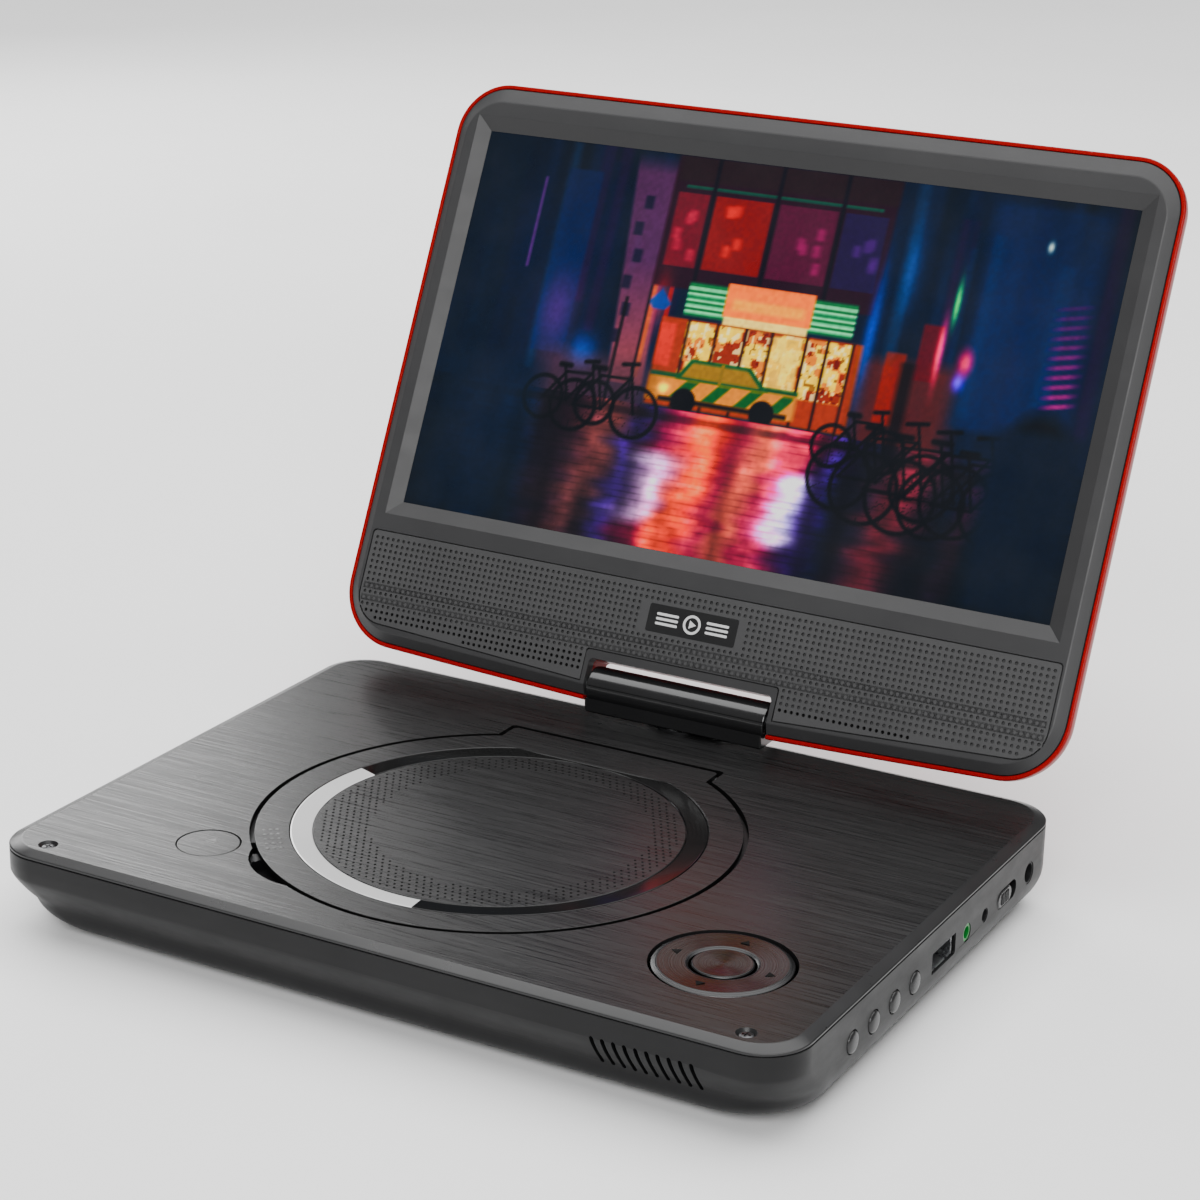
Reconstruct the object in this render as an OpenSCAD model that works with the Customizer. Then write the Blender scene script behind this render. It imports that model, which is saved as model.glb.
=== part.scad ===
// Portable DVD player with a swivelling, tilting screen.
// Frame: X to the right, Y to the back, Z up, feet on Z = 0, screen open at rest.

/* [Base] */
// Width of the base
base_w = 246.8; // [240:0.2:260]
// Depth of the base
base_d = 181.8; // [178:0.2:195]
// Height of the top face over the feet
top_z = 28; // [27.5:0.1:32]
// Y of the middle of the base
base_cy = -40.4; // [-45:0.1:-35]
// Corner radius of the base in plan
base_r = 14; // [10:0.5:18]
// Wall thickness of the bottom case
wall = 2; // [1.6:0.1:2.4]
// Thickness of the top cover
cover_t = 2; // [1.8:0.1:2.2]
// Width of the bevelled rim of the top cover
rim_w = 3.4; // [2:0.1:4]
// Height of the rubber feet
foot_h = 1.3; // [1:0.1:2]

/* [Disc bay] */
// X of the disc centre
disc_x = -8.1; // [-10:0.1:-4]
// Y of the disc centre, from the middle of the base
disc_y = -6.7; // [-8:0.1:-4]
// Radius of the opening for the disc lid
bay_r = 70.6; // [69:0.1:72]
// Gap round the disc lid
bay_gap = 0.8; // [0.6:0.1:1.2]
// Radius of the well that takes the disc
well_r = 61.5; // [61:0.1:63]
// Depth of the well floor under the top face
well_depth = 9.5; // [9:0.1:10.5]
// Half the width of the lid's hinge tab
tab_half = 35.7; // [30:0.1:38]
// Y of the tab's back edge, from the disc centre
tab_back = 68.4; // [67:0.1:69]
// Outer radius of the gloss ring
ring_ro = 59.3; // [58:0.1:60]
// Inner radius of the gloss ring
ring_ri = 53; // [52:0.1:54]

/* [Controls] */
// X of the navigation pad, from the middle of the base
nav_x = 85.9; // [82:0.1:88]
// Y of the navigation pad, from the middle of the base
nav_y = -51.9; // [-54:0.1:-48]
// Radius of the hole for the navigation pad
nav_r = 19.6; // [19:0.1:21]
// Radius of the hole for the centre button
nav_mid_r = 8.9; // [8:0.1:10]
// X of the open button, from the middle of the base
open_x = -71.2; // [-73:0.1:-70]
// Y of the open button, from the middle of the base
open_y = -59.2; // [-61:0.1:-58]
// Radius of the open button
open_r = 8.9; // [8:0.1:9.2]

/* [Right side] */
// Depth of the row of sockets and buttons under the top face
side_drop = 12.2; // [11:0.1:13]
// Y of the power jack, from the middle of the base
dc_y = 67.9; // [66:0.1:70]
// Y of the power switch
switch_y = 50.9; // [49:0.1:53]
// Y of the audio and video jack
av_y = 34.9; // [33:0.1:37]
// Y of the headphone jack
phones_y = 22; // [21:0.1:24]
// Y of the USB socket
usb_y = 6; // [4:0.1:8]
// Y of the rearmost side button
side_key_y = -13.6; // [-15:0.1:-12]
// Spacing of the four side buttons
side_key_pitch = 13.05; // [12:0.05:14]
// Radius of the four side buttons
side_key_r = 3.1; // [2.5:0.1:3.3]
// Bore radius of the 3.5 mm jacks
audio_r = 1.78; // [1.77:0.01:1.8]
// Bore radius of the power jack
dc_r = 2.8; // [2.7:0.05:3]

/* [Hinge] */
// Y of the swivel and tilt axes
hinge_y = 48.2; // [47:0.1:50]
// Height of the tilt axis over the top face
hinge_up = 7.4; // [7.2:0.1:7.6]
// Half the width of the hinge block
block_half = 30.6; // [28:0.1:31]
// Radius of the barrel round the tilt axis
barrel_r = 6.2; // [5.5:0.1:6.3]
// Radius of the swivel post
post_r = 6.5; // [5.5:0.1:7]
// Radius of each tilt shaft
shaft_r = 3; // [2.5:0.1:3.2]
// Lean of the open screen from upright, in degrees
lean = 25.5; // [15:0.5:35]

/* [Screen] */
// Width of the screen unit
lid_w = 248.6; // [246:0.2:252]
// Lower edge of the screen unit, from the tilt axis
lid_low = -6; // [-6.1:0.1:-5.8]
// Upper edge of the screen unit, from the tilt axis
lid_high = 185.7; // [180:0.1:190]
// Front of the bezel, from the tilt axis
lid_front = 6.3; // [6:0.1:6.4]
// Back of the rear cover, from the tilt axis
lid_back = -6.5; // [-6.6:0.1:-6]
// Width of the picture
pic_w = 222.7; // [220:0.1:224]
// Height of the picture
pic_h = 125; // [123:0.1:126]
// Lower edge of the picture, from the tilt axis
pic_low = 44.7; // [43:0.1:46]
// Radius of the rounding at the back edges
lid_round = 9; // [7:0.1:9]
// Half the width of the hinge notch
notch_half = 31.6; // [31.4:0.1:33]
// Upper edge of the hinge notch, from the tilt axis
notch_high = 7.8; // [7.7:0.1:9]

/* [Hidden] */
$fn = 48;
eps = 0.01;
hull_fn = 32;
// depth of the case floor's underside under the top face
case_h = top_z - foot_h;
front = -base_d / 2;
back = base_d / 2;
right = base_w / 2;
// swivel axis from the middle of the base
swivel_y = hinge_y - base_cy;
tongue_r = 13;
// depth at which each wall starts to curve under, and the radius of the side curve
side_drop_start = 14.9;
side_curve_r = case_h - side_drop_start;
front_start = 8.5;
front_curve_r = 8.5;
front_curve_in = 15.2;
front_slope_in = front_curve_in - front_curve_r;
front_curve_drop = case_h - front_curve_r;
lid_pin_r = 0.9;
// tilt-axis distances of the picture surface
pic_z = 4.4;
lid_bow = 3.4;
running = 0.05;
// depth of the boards' undersides
board_drop = 19.6;
key_board_drop = 9.6;
// depth of the seat under the open button's spring
spring_drop = 12;
spring_turns = 5;
chassis_drop = 16;
sled_drop = 13.2;
sled_rest = 31;
jack_foot = board_drop - 1.6 - side_drop;
rod_r = 1;
slot_half = 13;
latch_angle = -140;
// vents in the front wall
vent_count = 10;
vent_pitch = 3.13;
vent_x = 69;
// battery compartment: X, width and depth, and its door's screw
battery_x = -98;
battery_bay = [24, 140];
door_screw_y = -65.5;
// screws at the front corners of the top cover
cover_screw_x = 108.3;
cover_screw_y = front + 7.6;
// height over the top face where the hinge cap meets the hinge block
cap_split = hinge_up + 2;
// screen unit: top of the rear cover's rim, seat of the bezel, gap from rim to bezel
rim_z = 4.5;
seat_z = 2.4;
bezel_inset = 1.4;
speaker_x = 71;
// speaker grille: half width, upper and lower edge from the tilt axis, corner radius
grille_half = 118.3;
grille_top = 34;
grille_low = 0.6;
grille_r = 10;

function side_in(d) =
    d < side_drop_start ? 0
    : side_curve_r - sqrt(max(0, pow(side_curve_r, 2) - pow(d - side_drop_start, 2)));
function front_in(d) =
    d < front_start ? 0
    : d < front_curve_drop
        ? front_slope_in * pow((d - front_start) / (front_curve_drop - front_start), 1.25)
        : front_curve_in - sqrt(max(0, pow(front_curve_r, 2) - pow(d - front_curve_drop, 2)));

// Places a shape with Z measured from the top face and XY from the middle of the base
module on_base(x = 0, y = 0, z = 0) {
    translate([x, base_cy + y, top_z + z]) children();
}

// Places a shape on the right wall, with its Z axis pointing out to +X and Z = 0 on the wall
module on_right(y, drop = side_drop, out = 0) {
    on_base(right + out, y, -drop) rotate([0, 90, 0]) children();
}

// Places a shape in the screen's own axes: X along the tilt axis, Y up the screen, Z out of it
module on_screen() {
    translate([0, hinge_y, top_z + hinge_up]) rotate([90 - lean, 0, 0]) children();
}

module disc_place() {
    on_base(disc_x, disc_y) children();
}

// The finger notch at the front left of the disc bay, from the disc centre
module finger_place() {
    rotate([0, 0, -126]) translate([66, 0, 0]) children();
}

module block(w, d, z0, z1) {
    translate([-w / 2, -d / 2, z0]) cube([w, d, z1 - z0]);
}

module mirrored() {
    children();
    mirror([1, 0, 0]) children();
}

// One slice of the base outline, its lower face at depth d, pulled in by inset
module base_slice(d, inset = 0, t = 0.5) {
    side = side_in(d) + inset;
    fore = front_in(d) + inset;
    front_r = base_r + 0.6 * front_in(d) - inset * 0.7;
    back_r = base_r - inset * 0.7;
    for (s = [-1, 1]) {
        translate([s * (right - side - front_r), front + fore + front_r, -d])
            cylinder(r = front_r, h = t, $fn = hull_fn);
        translate([s * (right - side - back_r), back - side - back_r, -d])
            cylinder(r = back_r, h = t, $fn = hull_fn);
    }
}

// The case's outline from top_at down to floor_at, rounded under
module case_body(top_at, floor_at) {
    steps = 6;
    hull() {
        base_slice(top_at + 0.5);
        for (i = [0 : steps]) base_slice(front_start + (floor_at - front_start) * sin(90 * i / steps));
    }
}

module tongue(r, z0, z1) {
    translate([0, swivel_y, z0]) cylinder(r = r, h = z1 - z0);
}

module bay_cut(gap, z0, z1) {
    half = tab_half + bay_gap - gap;
    edge = tab_back + bay_gap - gap;
    translate([disc_x, disc_y, z0]) difference() {
        union() {
            cylinder(r = bay_r - gap, h = z1 - z0);
            translate([-half, 30, 0]) cube([2 * half, edge - 30, z1 - z0]);
        }
        translate([-50, edge, -1]) cube([100, 30, z1 - z0 + 2]);
    }
}

// ---- Base shell ----

// A straight-walled pocket with round corners between two depths
module pocket(side, fore, d0, d1) {
    w = base_w - 2 * side;
    d = base_d - side - fore;
    r = 12;
    translate([0, (fore - side) / 2, 0]) {
        block(w - 2 * r, d, -d1, -d0);
        block(w, d - 2 * r, -d1, -d0);
        for (x = [-1, 1]) for (y = [-1, 1]) translate([x * (w / 2 - r), y * (d / 2 - r), -d1])
            cylinder(r = r, h = d1 - d0);
    }
}

// Steps of the hollow: inset of the sides, inset of the front, upper and lower depth
function hollow_steps() = [
    [wall, wall + 0.6, 0, 10.1],
    [wall + 0.1, 7.7, 10, 17.1],
    [3.2, 9, 17, 20.1],
    [7.2, 11.8, 20, case_h - wall]
];

// Posts inside the case: X, Y and the depth of the top
function post_places() = concat(
    [for (x = [-15, 15]) for (y = [-15, 15]) [nav_x + x, nav_y + y, key_board_drop]],
    [for (x = [80, 104]) for (y = [-26, 68]) [x, y, board_drop]],
    [for (p = damper_places()) [disc_x + p.x, disc_y + p.y, chassis_drop + 2]]
);

module bottom_case() {
    color("#2b2b2d") on_base() difference() {
        union() {
            difference() {
                union() {
                    case_body(cover_t, case_h);
                    tongue(tongue_r, -13.6, -cover_t);
                }
                for (h = hollow_steps()) pocket(h[0], h[1], h[2], h[3]);
                tongue(tongue_r - 1.8, -12, 0);
                translate([battery_x, 0, 0])
                    block(battery_bay.x, battery_bay.y, -case_h - 1, -case_h + wall + 1);
            }
            for (p = case_screw_places()) translate([p.x, p.y, -case_h + wall - 1])
                cylinder(r = 3.6, h = 5);
            for (p = post_places()) translate([p.x, p.y, -case_h + wall - 1])
                cylinder(r = 2.6, h = case_h - wall + 1 - p.z);
            for (s = [-1, 1]) translate([s * cover_screw_x, cover_screw_y, -14])
                cylinder(r = 2.6, h = 14 - cover_t);
            translate([open_x, open_y, -case_h + wall - 1])
                cylinder(r = 5, h = case_h - wall + 1 - spring_drop);
            translate([battery_x, door_screw_y, 0])
                block(battery_bay.x + 4, 7, -case_h + wall, -case_h + wall + 3);
        }
        for (i = [0 : vent_count - 1])
            translate([vent_x + i * vent_pitch - 0.6, front - 1, -18.4]) cube([1.2, 12, 10.2]);
        right_wall_cuts();
        for (p = case_screw_places()) translate([p.x, p.y, -case_h - 1]) cylinder(r = 1.6, h = 9);
        for (p = case_screw_places()) translate([p.x, p.y, -case_h - 1]) cylinder(r = 3, h = 2.4);
        for (s = [-1, 1]) translate([s * cover_screw_x, cover_screw_y, -6]) cylinder(r = 1.1, h = 6);
        translate([open_x, open_y, -22]) cylinder(r = 1.7, h = 20);
        translate([battery_x, door_screw_y, -case_h]) cylinder(r = 1.6, h = 8);
    }
}

function case_screw_places() = [for (x = [-62, 0, 88]) for (y = [-58, 72]) [x, y]];

module wall_hole(y, r) {
    translate([right - 4, y, -side_drop]) rotate([0, 90, 0]) cylinder(r = r, h = 8);
}

module stadium_hole(y, long, high) {
    for (s = [-1, 1]) wall_hole(y + s * (long - high) / 2, high / 2);
    translate([right - 4, y - (long - high) / 2, -side_drop - high / 2]) cube([8, long - high, high]);
}

module right_wall_cuts() {
    wall_hole(dc_y, 3.4);
    wall_hole(av_y, 2.1);
    wall_hole(phones_y, 2.7);
    stadium_hole(switch_y, 14.3, 5.6);
    translate([right - 4, usb_y - 8, -side_drop - 2.9]) cube([8, 16, 6.2]);
    for (i = [0 : 3]) wall_hole(side_key_y - i * side_key_pitch, side_key_r + 0.3);
}

module top_cover() {
    color("#3a3a3c") on_base() difference() {
        union() {
            hull() {
                base_slice(cover_t, 0, 1);
                base_slice(0.3, rim_w, 0.3);
            }
            tongue(tongue_r, -cover_t, -0.3);
        }
        bay_cut(0, -5, 5);
        translate([disc_x, disc_y, -5]) finger_place() cylinder(r = 9, h = 10);
        translate([disc_x, disc_y + tab_back - 2, -cover_t - 1])
            block(2 * tab_half + 10, 2.4, 0, 2.05);
        translate([nav_x, nav_y, -5]) cylinder(r = nav_r, h = 10);
        translate([open_x, open_y, -5]) cylinder(r = open_r + 0.3, h = 10);
        tongue(post_r + running, -5, 5);
        for (s = [-1, 1]) {
            translate([s * cover_screw_x, cover_screw_y, -1.2]) cylinder(r = 2.6, h = 3);
            translate([s * cover_screw_x, cover_screw_y, -5]) cylinder(r = 1.1, h = 10);
        }
    }
}

module cover_screws() {
    color("silver") on_base() for (s = [-1, 1]) translate([s * cover_screw_x, cover_screw_y, 0]) {
        difference() {
            translate([0, 0, -1.2]) cylinder(r = 1.9, h = 0.7);
            for (a = [0, 90]) rotate([0, 0, a]) block(2.4, 0.5, -0.9, 1);
        }
        translate([0, 0, -5]) cylinder(r = 1, h = 4);
    }
}

module disc_tray() {
    color("#1c1c1e") on_base() difference() {
        union() {
            translate([disc_x, disc_y, -4.2]) cylinder(r = bay_r + 1.2, h = 2.2);
            translate([disc_x, disc_y, -well_depth - 1.5]) cylinder(r = well_r + 1.8, h = well_depth - 1);
            translate([disc_x - tab_half - 5, disc_y + 50, -7]) cube([2 * tab_half + 10, 21, 4.6]);
            translate([disc_x, disc_y, -7]) finger_place() cylinder(r = 10.5, h = 4.6);
            for (s = [-1, 1]) translate([disc_x + s * (tab_half + 2.9), disc_y + tab_back - 2, 0])
                block(3.4, 5, -5, -2.05);
        }
        translate([disc_x, disc_y, -well_depth]) cylinder(r = well_r, h = 20);
        translate([disc_x, disc_y, -2.4]) cylinder(r = bay_r + 0.1, h = 5);
        translate([disc_x - tab_half - bay_gap, disc_y + 62.5, -5.5])
            cube([2 * (tab_half + bay_gap), 7, 10]);
        translate([disc_x, disc_y, -5.5]) finger_place() cylinder(r = 9, h = 10);
        translate([disc_x, disc_y + tab_back - 2, -cover_t]) {
            rotate([0, 90, 0]) translate([0, 0, -60]) cylinder(r = lid_pin_r + running, h = 120);
            block(120, 2 * (lid_pin_r + running), 0, 5);
        }
        translate([disc_x, disc_y, -20]) cylinder(r = 15, h = 20);
        translate([disc_x, disc_y, -20]) translate([0, -slot_half, 0]) cube([55, 2 * slot_half, 20]);
        translate([disc_x, disc_y, -20]) rotate([0, 0, latch_angle])
            translate([62.4, -4, 0]) cube([12, 8, 30]);
    }
}

// ---- Disc drive ----

module loader_chassis() {
    color("#8c8f92") disc_place() difference() {
        translate([-24, -30, -chassis_drop]) cube([88, 60, 1.2]);
        translate([0, 0, -20]) cylinder(r = 3.2 + running, h = 10);
        translate([17, -slot_half + 1, -20]) cube([40, 2 * slot_half - 2, 10]);
        translate([-5, 17.3, -20]) cube([18, 8.6, 10]);
        translate([12.9, 19.6, -20]) cube([46, 4, 10]);
        for (p = damper_places()) translate([p.x, p.y, -20]) cylinder(r = 2.7, h = 10);
    }
}

function damper_places() = [[-19, -25], [-19, 25], [60, -25], [60, 25]];

module chassis_dampers() {
    color("#202020") disc_place() for (p = damper_places()) translate([p.x, p.y, 0]) rotate_extrude()
        polygon([
            [1.1, -chassis_drop - 2], [4.2, -chassis_drop - 2], [4.2, -chassis_drop], [2.6, -chassis_drop],
            [2.6, -chassis_drop + 1.2], [4.2, -chassis_drop + 1.2], [4.2, -11.1], [1.1, -11.1]
        ]);
}

module spindle_motor() {
    color("#b8b8b8") disc_place() difference() {
        union() {
            translate([0, 0, -chassis_drop - 6]) cylinder(r = 12, h = 6);
            translate([0, 0, -chassis_drop]) cylinder(r = 3.2, h = 1.2);
        }
        translate([0, 0, -30]) cylinder(r = 1 + running, h = 30);
    }
}

module spindle_hub() {
    color("#303034") disc_place() rotate_extrude() difference() {
        polygon([
            [0, -chassis_drop - 5], [1, -chassis_drop - 5], [1, -chassis_drop + 1.5],
            [13.5, -chassis_drop + 1.5], [13.5, -5.1], [7.4, -5.1], [7.4, -3.4], [6.2, -2.6], [0, -2.6]
        ]);
        translate([3, -chassis_drop + 1.4]) square([9, chassis_drop - 8]);
        translate([9.6, -5.5]) square([2.6, 0.5]);
    }
}

module hub_balls() {
    color("silver") disc_place() for (a = [0, 120, 240]) rotate([0, 0, a]) translate([6.6, 0, -4.25])
        sphere(r = 0.75, $fn = 24);
}

module guide_rods() {
    color("silver") disc_place() for (s = [-1, 1]) {
        translate([14.5, s * 14.8, -sled_drop]) rotate([0, 90, 0]) cylinder(r = rod_r, h = 44);
        for (x = [14.5, 57.3]) translate([x, s * 14.8 - 2, -chassis_drop + 1.2]) cube([1.2, 4, 2.2]);
    }
}

module pickup_sled() {
    color("#3b3f44") disc_place() difference() {
        union() {
            translate([sled_rest - 8, -10.6, -12.6]) cube([16, 21.2, 4.2]);
            for (s = [-1, 1]) translate([sled_rest - 7, s * 14.8 - 2.4, -14.5]) cube([14, 4.8, 3.1]);
            translate([sled_rest - 7, -12.5, -14]) cube([14, 25, 2.6]);
            translate([sled_rest - 4, 16.4, -14.4]) cube([8, 5.2, 3]);
        }
        for (s = [-1, 1]) translate([0, s * 14.8, -sled_drop]) rotate([0, 90, 0])
            cylinder(r = rod_r + running, h = 70);
        translate([sled_rest, 0, -9.7]) cylinder(r = 3.4, h = 3);
        translate([0, 21.6, -sled_drop]) rotate([0, 90, 0]) cylinder(r = 1.7, h = 70);
    }
}

module pickup_lens() {
    color("#5b7fa8") disc_place() translate([sled_rest, 0, -9.7]) rotate_extrude()
        polygon([[0, 0], [3.3, 0], [3.3, 1.8], [2.5, 1.8], [2.2, 1.5], [1.2, 1.9], [0, 2]]);
}

module lead_screw() {
    color("#c9b26a") disc_place() translate([14.8, 21.6, -sled_drop]) rotate([0, 90, 0]) rotate_extrude()
        polygon(concat(
            [[0, -8]],
            [[0.8, -8], [0.8, 0]],
            [for (i = [0 : 25]) each [[1.5, 1 + i * 1.5], [1.15, 1.75 + i * 1.5]]],
            [[0.8, 40], [0, 40]]
        ));
}

module sled_motor() {
    color("#a5a8ab") disc_place() translate([6.5, 21.6, -sled_drop]) rotate([0, 90, 0]) difference() {
        intersection() {
            translate([0, 0, -11]) cylinder(r = 5, h = 17);
            translate([-2.1, -4, -12]) cube([6.1, 8, 30]);
        }
        cylinder(r = 0.8 + running, h = 20);
    }
}

// ---- Electronics and power ----

module main_board() {
    color("#1e5b3a") on_base() {
        translate([76, -30, -board_drop]) cube([43, 106, 1.6]);
        translate([109, -60, -board_drop]) cube([10, 31, 1.6]);
    }
    color("#202225") on_base() {
        translate([84, 4, -board_drop + 1.6]) cube([16, 16, 1.4]);
        translate([84, 34, -board_drop + 1.6]) cube([11, 14, 1.2]);
    }
}

module key_board() {
    color("#1e5b3a") on_base(nav_x, nav_y) {
        translate([-19, -19, -key_board_drop]) cube([38, 38, 1.2]);
        for (a = [0, 90, 180, 270]) rotate([0, 0, a]) translate([13.8, 0, -8.4]) {
            block(4, 4, 0, 1.2);
            cylinder(r = 1, h = 1.5);
        }
        translate([0, 0, -8.4]) block(4, 4, 0, 1.2);
    }
}

module battery_pack() {
    color("#2f5fa5") on_base(battery_x) {
        for (y = [-60.5, 5]) translate([0, y, -14.8]) rotate([-90, 0, 0]) cylinder(r = 9.1, h = 65);
        translate([0, 4, -14.8]) rotate([-90, 0, 0]) cylinder(r = 8.6, h = 2);
    }
}

module battery_door() {
    color("#2b2b2d") on_base(battery_x) difference() {
        union() {
            block(battery_bay.x - 0.4, battery_bay.y - 0.4, -case_h, -case_h + 1.6);
            for (x = [-8, 8]) translate([x, battery_bay.y / 2, 0]) {
                translate([0, -1.8, 0]) block(4, 3, -case_h + 1, -case_h + wall + 1.2);
                translate([0, -0.6, 0]) block(4, 5.4, -case_h + wall + 0.2, -case_h + wall + 1.2);
            }
        }
        translate([0, door_screw_y, -case_h - 1]) cylinder(r = 1.6, h = 5);
        translate([0, door_screw_y, -case_h - 1]) cylinder(r = 2.7, h = 1.8);
        for (i = [0 : 4]) translate([0, 52 + i * 2.4, 0]) block(12, 1, -case_h - 1, -case_h + 0.4);
    }
}

module screw(head_r, head_h, shank_r, long) {
    difference() {
        cylinder(r = head_r, h = head_h);
        for (a = [0, 90]) rotate([0, 0, a]) block(head_r * 1.3, head_r * 0.28, -1, head_h * 0.5);
    }
    translate([0, 0, head_h - eps]) cylinder(r = shank_r, h = long);
}

module battery_door_screw() {
    color("silver") on_base(battery_x, door_screw_y, -case_h + 0.1) screw(2.4, 0.7, 1.5, 3.6);
}

module rubber_feet() {
    color("#1a1a1a") on_base() for (x = [-78, 104]) for (y = [-66, 70])
        translate([x, y, -top_z]) cylinder(r = 5.5, h = foot_h);
}

module case_screws() {
    color("silver") on_base() for (p = case_screw_places())
        translate([p.x, p.y, -case_h + 0.2]) screw(2.6, 1.2, 1.5, 4);
}

// A round jack: barrel with a bore open to +X, on a moulded body that stands on the board
module round_jack(y, bore, outer, long) {
    on_right(y, side_drop, -long - 0.6) difference() {
        union() {
            cylinder(r = outer, h = long + 0.4);
            translate([-outer, -outer - 1.2, -1.5]) cube([outer + jack_foot, 2 * outer + 2.4, long - 2]);
        }
        cylinder(r = bore, h = long + 10);
    }
}

module dc_jack() {
    color("#161616") round_jack(dc_y, dc_r, 3.3, 10);
    color("silver") on_right(dc_y, side_drop, -11.2) cylinder(r = 0.85, h = 8.6);
}

module av_jack() {
    color("#161616") round_jack(av_y, audio_r, 2, 12);
}

module headphone_jack() {
    color("#0f7d23") round_jack(phones_y, audio_r, 2.6, 12);
}

module usb_socket() {
    color("silver") on_base(right - 0.8, usb_y, -side_drop) difference() {
        union() {
            translate([-14, -7.2, -2.75]) cube([14, 14.4, 5.9]);
            for (y = [-7.2, 6.2]) translate([-12, y, -jack_foot]) cube([3, 1, jack_foot]);
        }
        translate([-13.4, -6.2, -2.35]) cube([20, 12.4, 5.1]);
    }
    color("#101014") on_base(right - 0.8, usb_y, -side_drop)
        translate([-13.6, -5.4, 0.3]) cube([11.6, 10.8, 1.8]);
}

module power_switch() {
    color("#2a2c30") on_base(right - 9, switch_y, -side_drop) difference() {
        translate([0, -7, -jack_foot]) cube([5, 14, jack_foot + 3.2]);
        translate([2.4, -6, -1.6]) cube([5, 12, 3.2]);
    }
}

module power_switch_knob() {
    color("#35353a") on_base(right, switch_y - 1.9, -side_drop) {
        translate([-2.6, -3.2, -2.5]) cube([2.9, 6.4, 5]);
        for (s = [-1, 1]) translate([-2.6, s * 2.6, 0]) rotate([0, 90, 0]) cylinder(r = 2.5, h = 2.9);
        translate([-6.2, -1.5, -1.4]) cube([3.8, 3, 2.8]);
        for (i = [-2 : 2]) translate([0.2, i * 1.1 - 0.2, -1.7]) cube([0.4, 0.4, 3.4]);
    }
}

module side_key_switches() {
    color("#2a2c30") on_base() {
        for (i = [0 : 3]) translate([right - 10.4, side_key_y - i * side_key_pitch, -side_drop]) {
            translate([0, -3, -3]) cube([3.5, 6, 6]);
            rotate([0, 90, 0]) cylinder(r = 1.3, h = 4);
        }
        translate([right - 12, side_key_y - 3 * side_key_pitch - 6, -side_drop - jack_foot])
            cube([1.6 + eps, 3 * side_key_pitch + 12, jack_foot + 5]);
    }
}

module side_button(i) {
    color("#35353a") on_right(side_key_y - i * side_key_pitch) rotate_extrude() polygon([
        [0, -5.4], [2, -5.4], [2, -3.4], [side_key_r + 1, -3.4], [side_key_r + 1, -2.6], [side_key_r, -2.6],
        [side_key_r, 0.1], [side_key_r - 0.5, 0.6], [side_key_r - 1.6, 0.85], [0, 0.95]
    ]);
}

module side_button_1() { side_button(0); }
module side_button_2() { side_button(1); }
module side_button_3() { side_button(2); }
module side_button_4() { side_button(3); }

// ---- Disc lid and its latch ----

module disc_lid_panel() {
    color("#3a3a3c") disc_place() difference() {
        union() {
            translate([-disc_x, -disc_y, 0]) difference() {
                bay_cut(bay_gap, -cover_t, 0);
                translate([disc_x, disc_y + tab_back - 2, 0]) block(100, 4.2, -5, 5);
            }
            translate([-tab_half, tab_back - 2, -cover_t]) rotate([0, 90, 0])
                cylinder(r = 2, h = 2 * tab_half);
            translate([-tab_half, tab_back - 4.4, -cover_t]) cube([2 * tab_half, 2.4, cover_t]);
            rotate([0, 0, latch_angle]) {
                translate([63.6, -3, -7.9]) cube([2, 6, 6.1]);
                translate([63.6, -3, -7.9]) cube([3.6, 6, 1.2]);
            }
            difference() {
                translate([0, 0, -3.2]) cylinder(r = 57.6, h = 1.4);
                translate([0, 0, -4]) cylinder(r = 56.2, h = 5);
            }
        }
        translate([0, 0, -0.9]) cylinder(r = ring_ro, h = 3);
        translate([0, tab_back - 2, -cover_t]) rotate([0, 90, 0]) translate([0, 0, -tab_half - 1])
            cylinder(r = lid_pin_r, h = 8);
        translate([0, tab_back - 2, -cover_t]) rotate([0, 90, 0]) translate([0, 0, tab_half - 7])
            cylinder(r = lid_pin_r, h = 8);
    }
}

module disc_lid_ring() {
    color("#08080a") disc_place() rotate_extrude() polygon([
        [ring_ri, -0.9], [ring_ro - 0.1, -0.9], [ring_ro - 0.1, 0], [ring_ri, -0.35]
    ]);
}

module disc_lid_plate() {
    color("#3a3a3c") disc_place() translate([0, 0, -0.9]) cylinder(r = ring_ri - 0.1, h = 0.5);
}

module disc_lid_pins() {
    color("silver") disc_place() for (s = [-1, 1]) translate([s * (tab_half - 1.4), tab_back - 2, -cover_t])
        rotate([0, 90, 0]) translate([0, 0, -5]) cylinder(r = lid_pin_r, h = 10);
}

module open_button() {
    color("#3a3a3c") on_base(open_x, open_y) {
        translate([0, 0, -3.4]) cylinder(r = open_r, h = 3.4);
        translate([0, 0, -3.4]) cylinder(r = open_r + 1, h = 0.8);
        translate([0, 0, -spring_drop - 2]) cylinder(r = 1.6, h = spring_drop);
    }
}

module open_button_spring() {
    coils = spring_drop - 3.4;
    color("silver") on_base(open_x, open_y, -spring_drop)
        linear_extrude(coils, twist = -360 * spring_turns, slices = 10 * spring_turns) intersection() {
            difference() {
                circle(r = 3.8, $fn = 10);
                circle(r = 3, $fn = 10);
            }
            translate([-5, 0]) square([10, 5]);
        }
}

module door_latch() {
    color("#1c1c1e") disc_place() rotate([0, 0, latch_angle]) {
        translate([65.9, -3.5, -6.4]) cube([9.2, 7, 1.2]);
        translate([72.9, -3.5, -9.6]) cube([2.2, 7, 4.4]);
    }
}

// ---- Navigation pad ----

module nav_rocker_frame() {
    color("#1c1c1e") on_base(nav_x, nav_y) difference() {
        translate([0, 0, -4.9]) cylinder(r = 17, h = 0.8);
        translate([0, 0, -8]) cylinder(r = nav_mid_r + 1.6, h = 8);
    }
}

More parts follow.
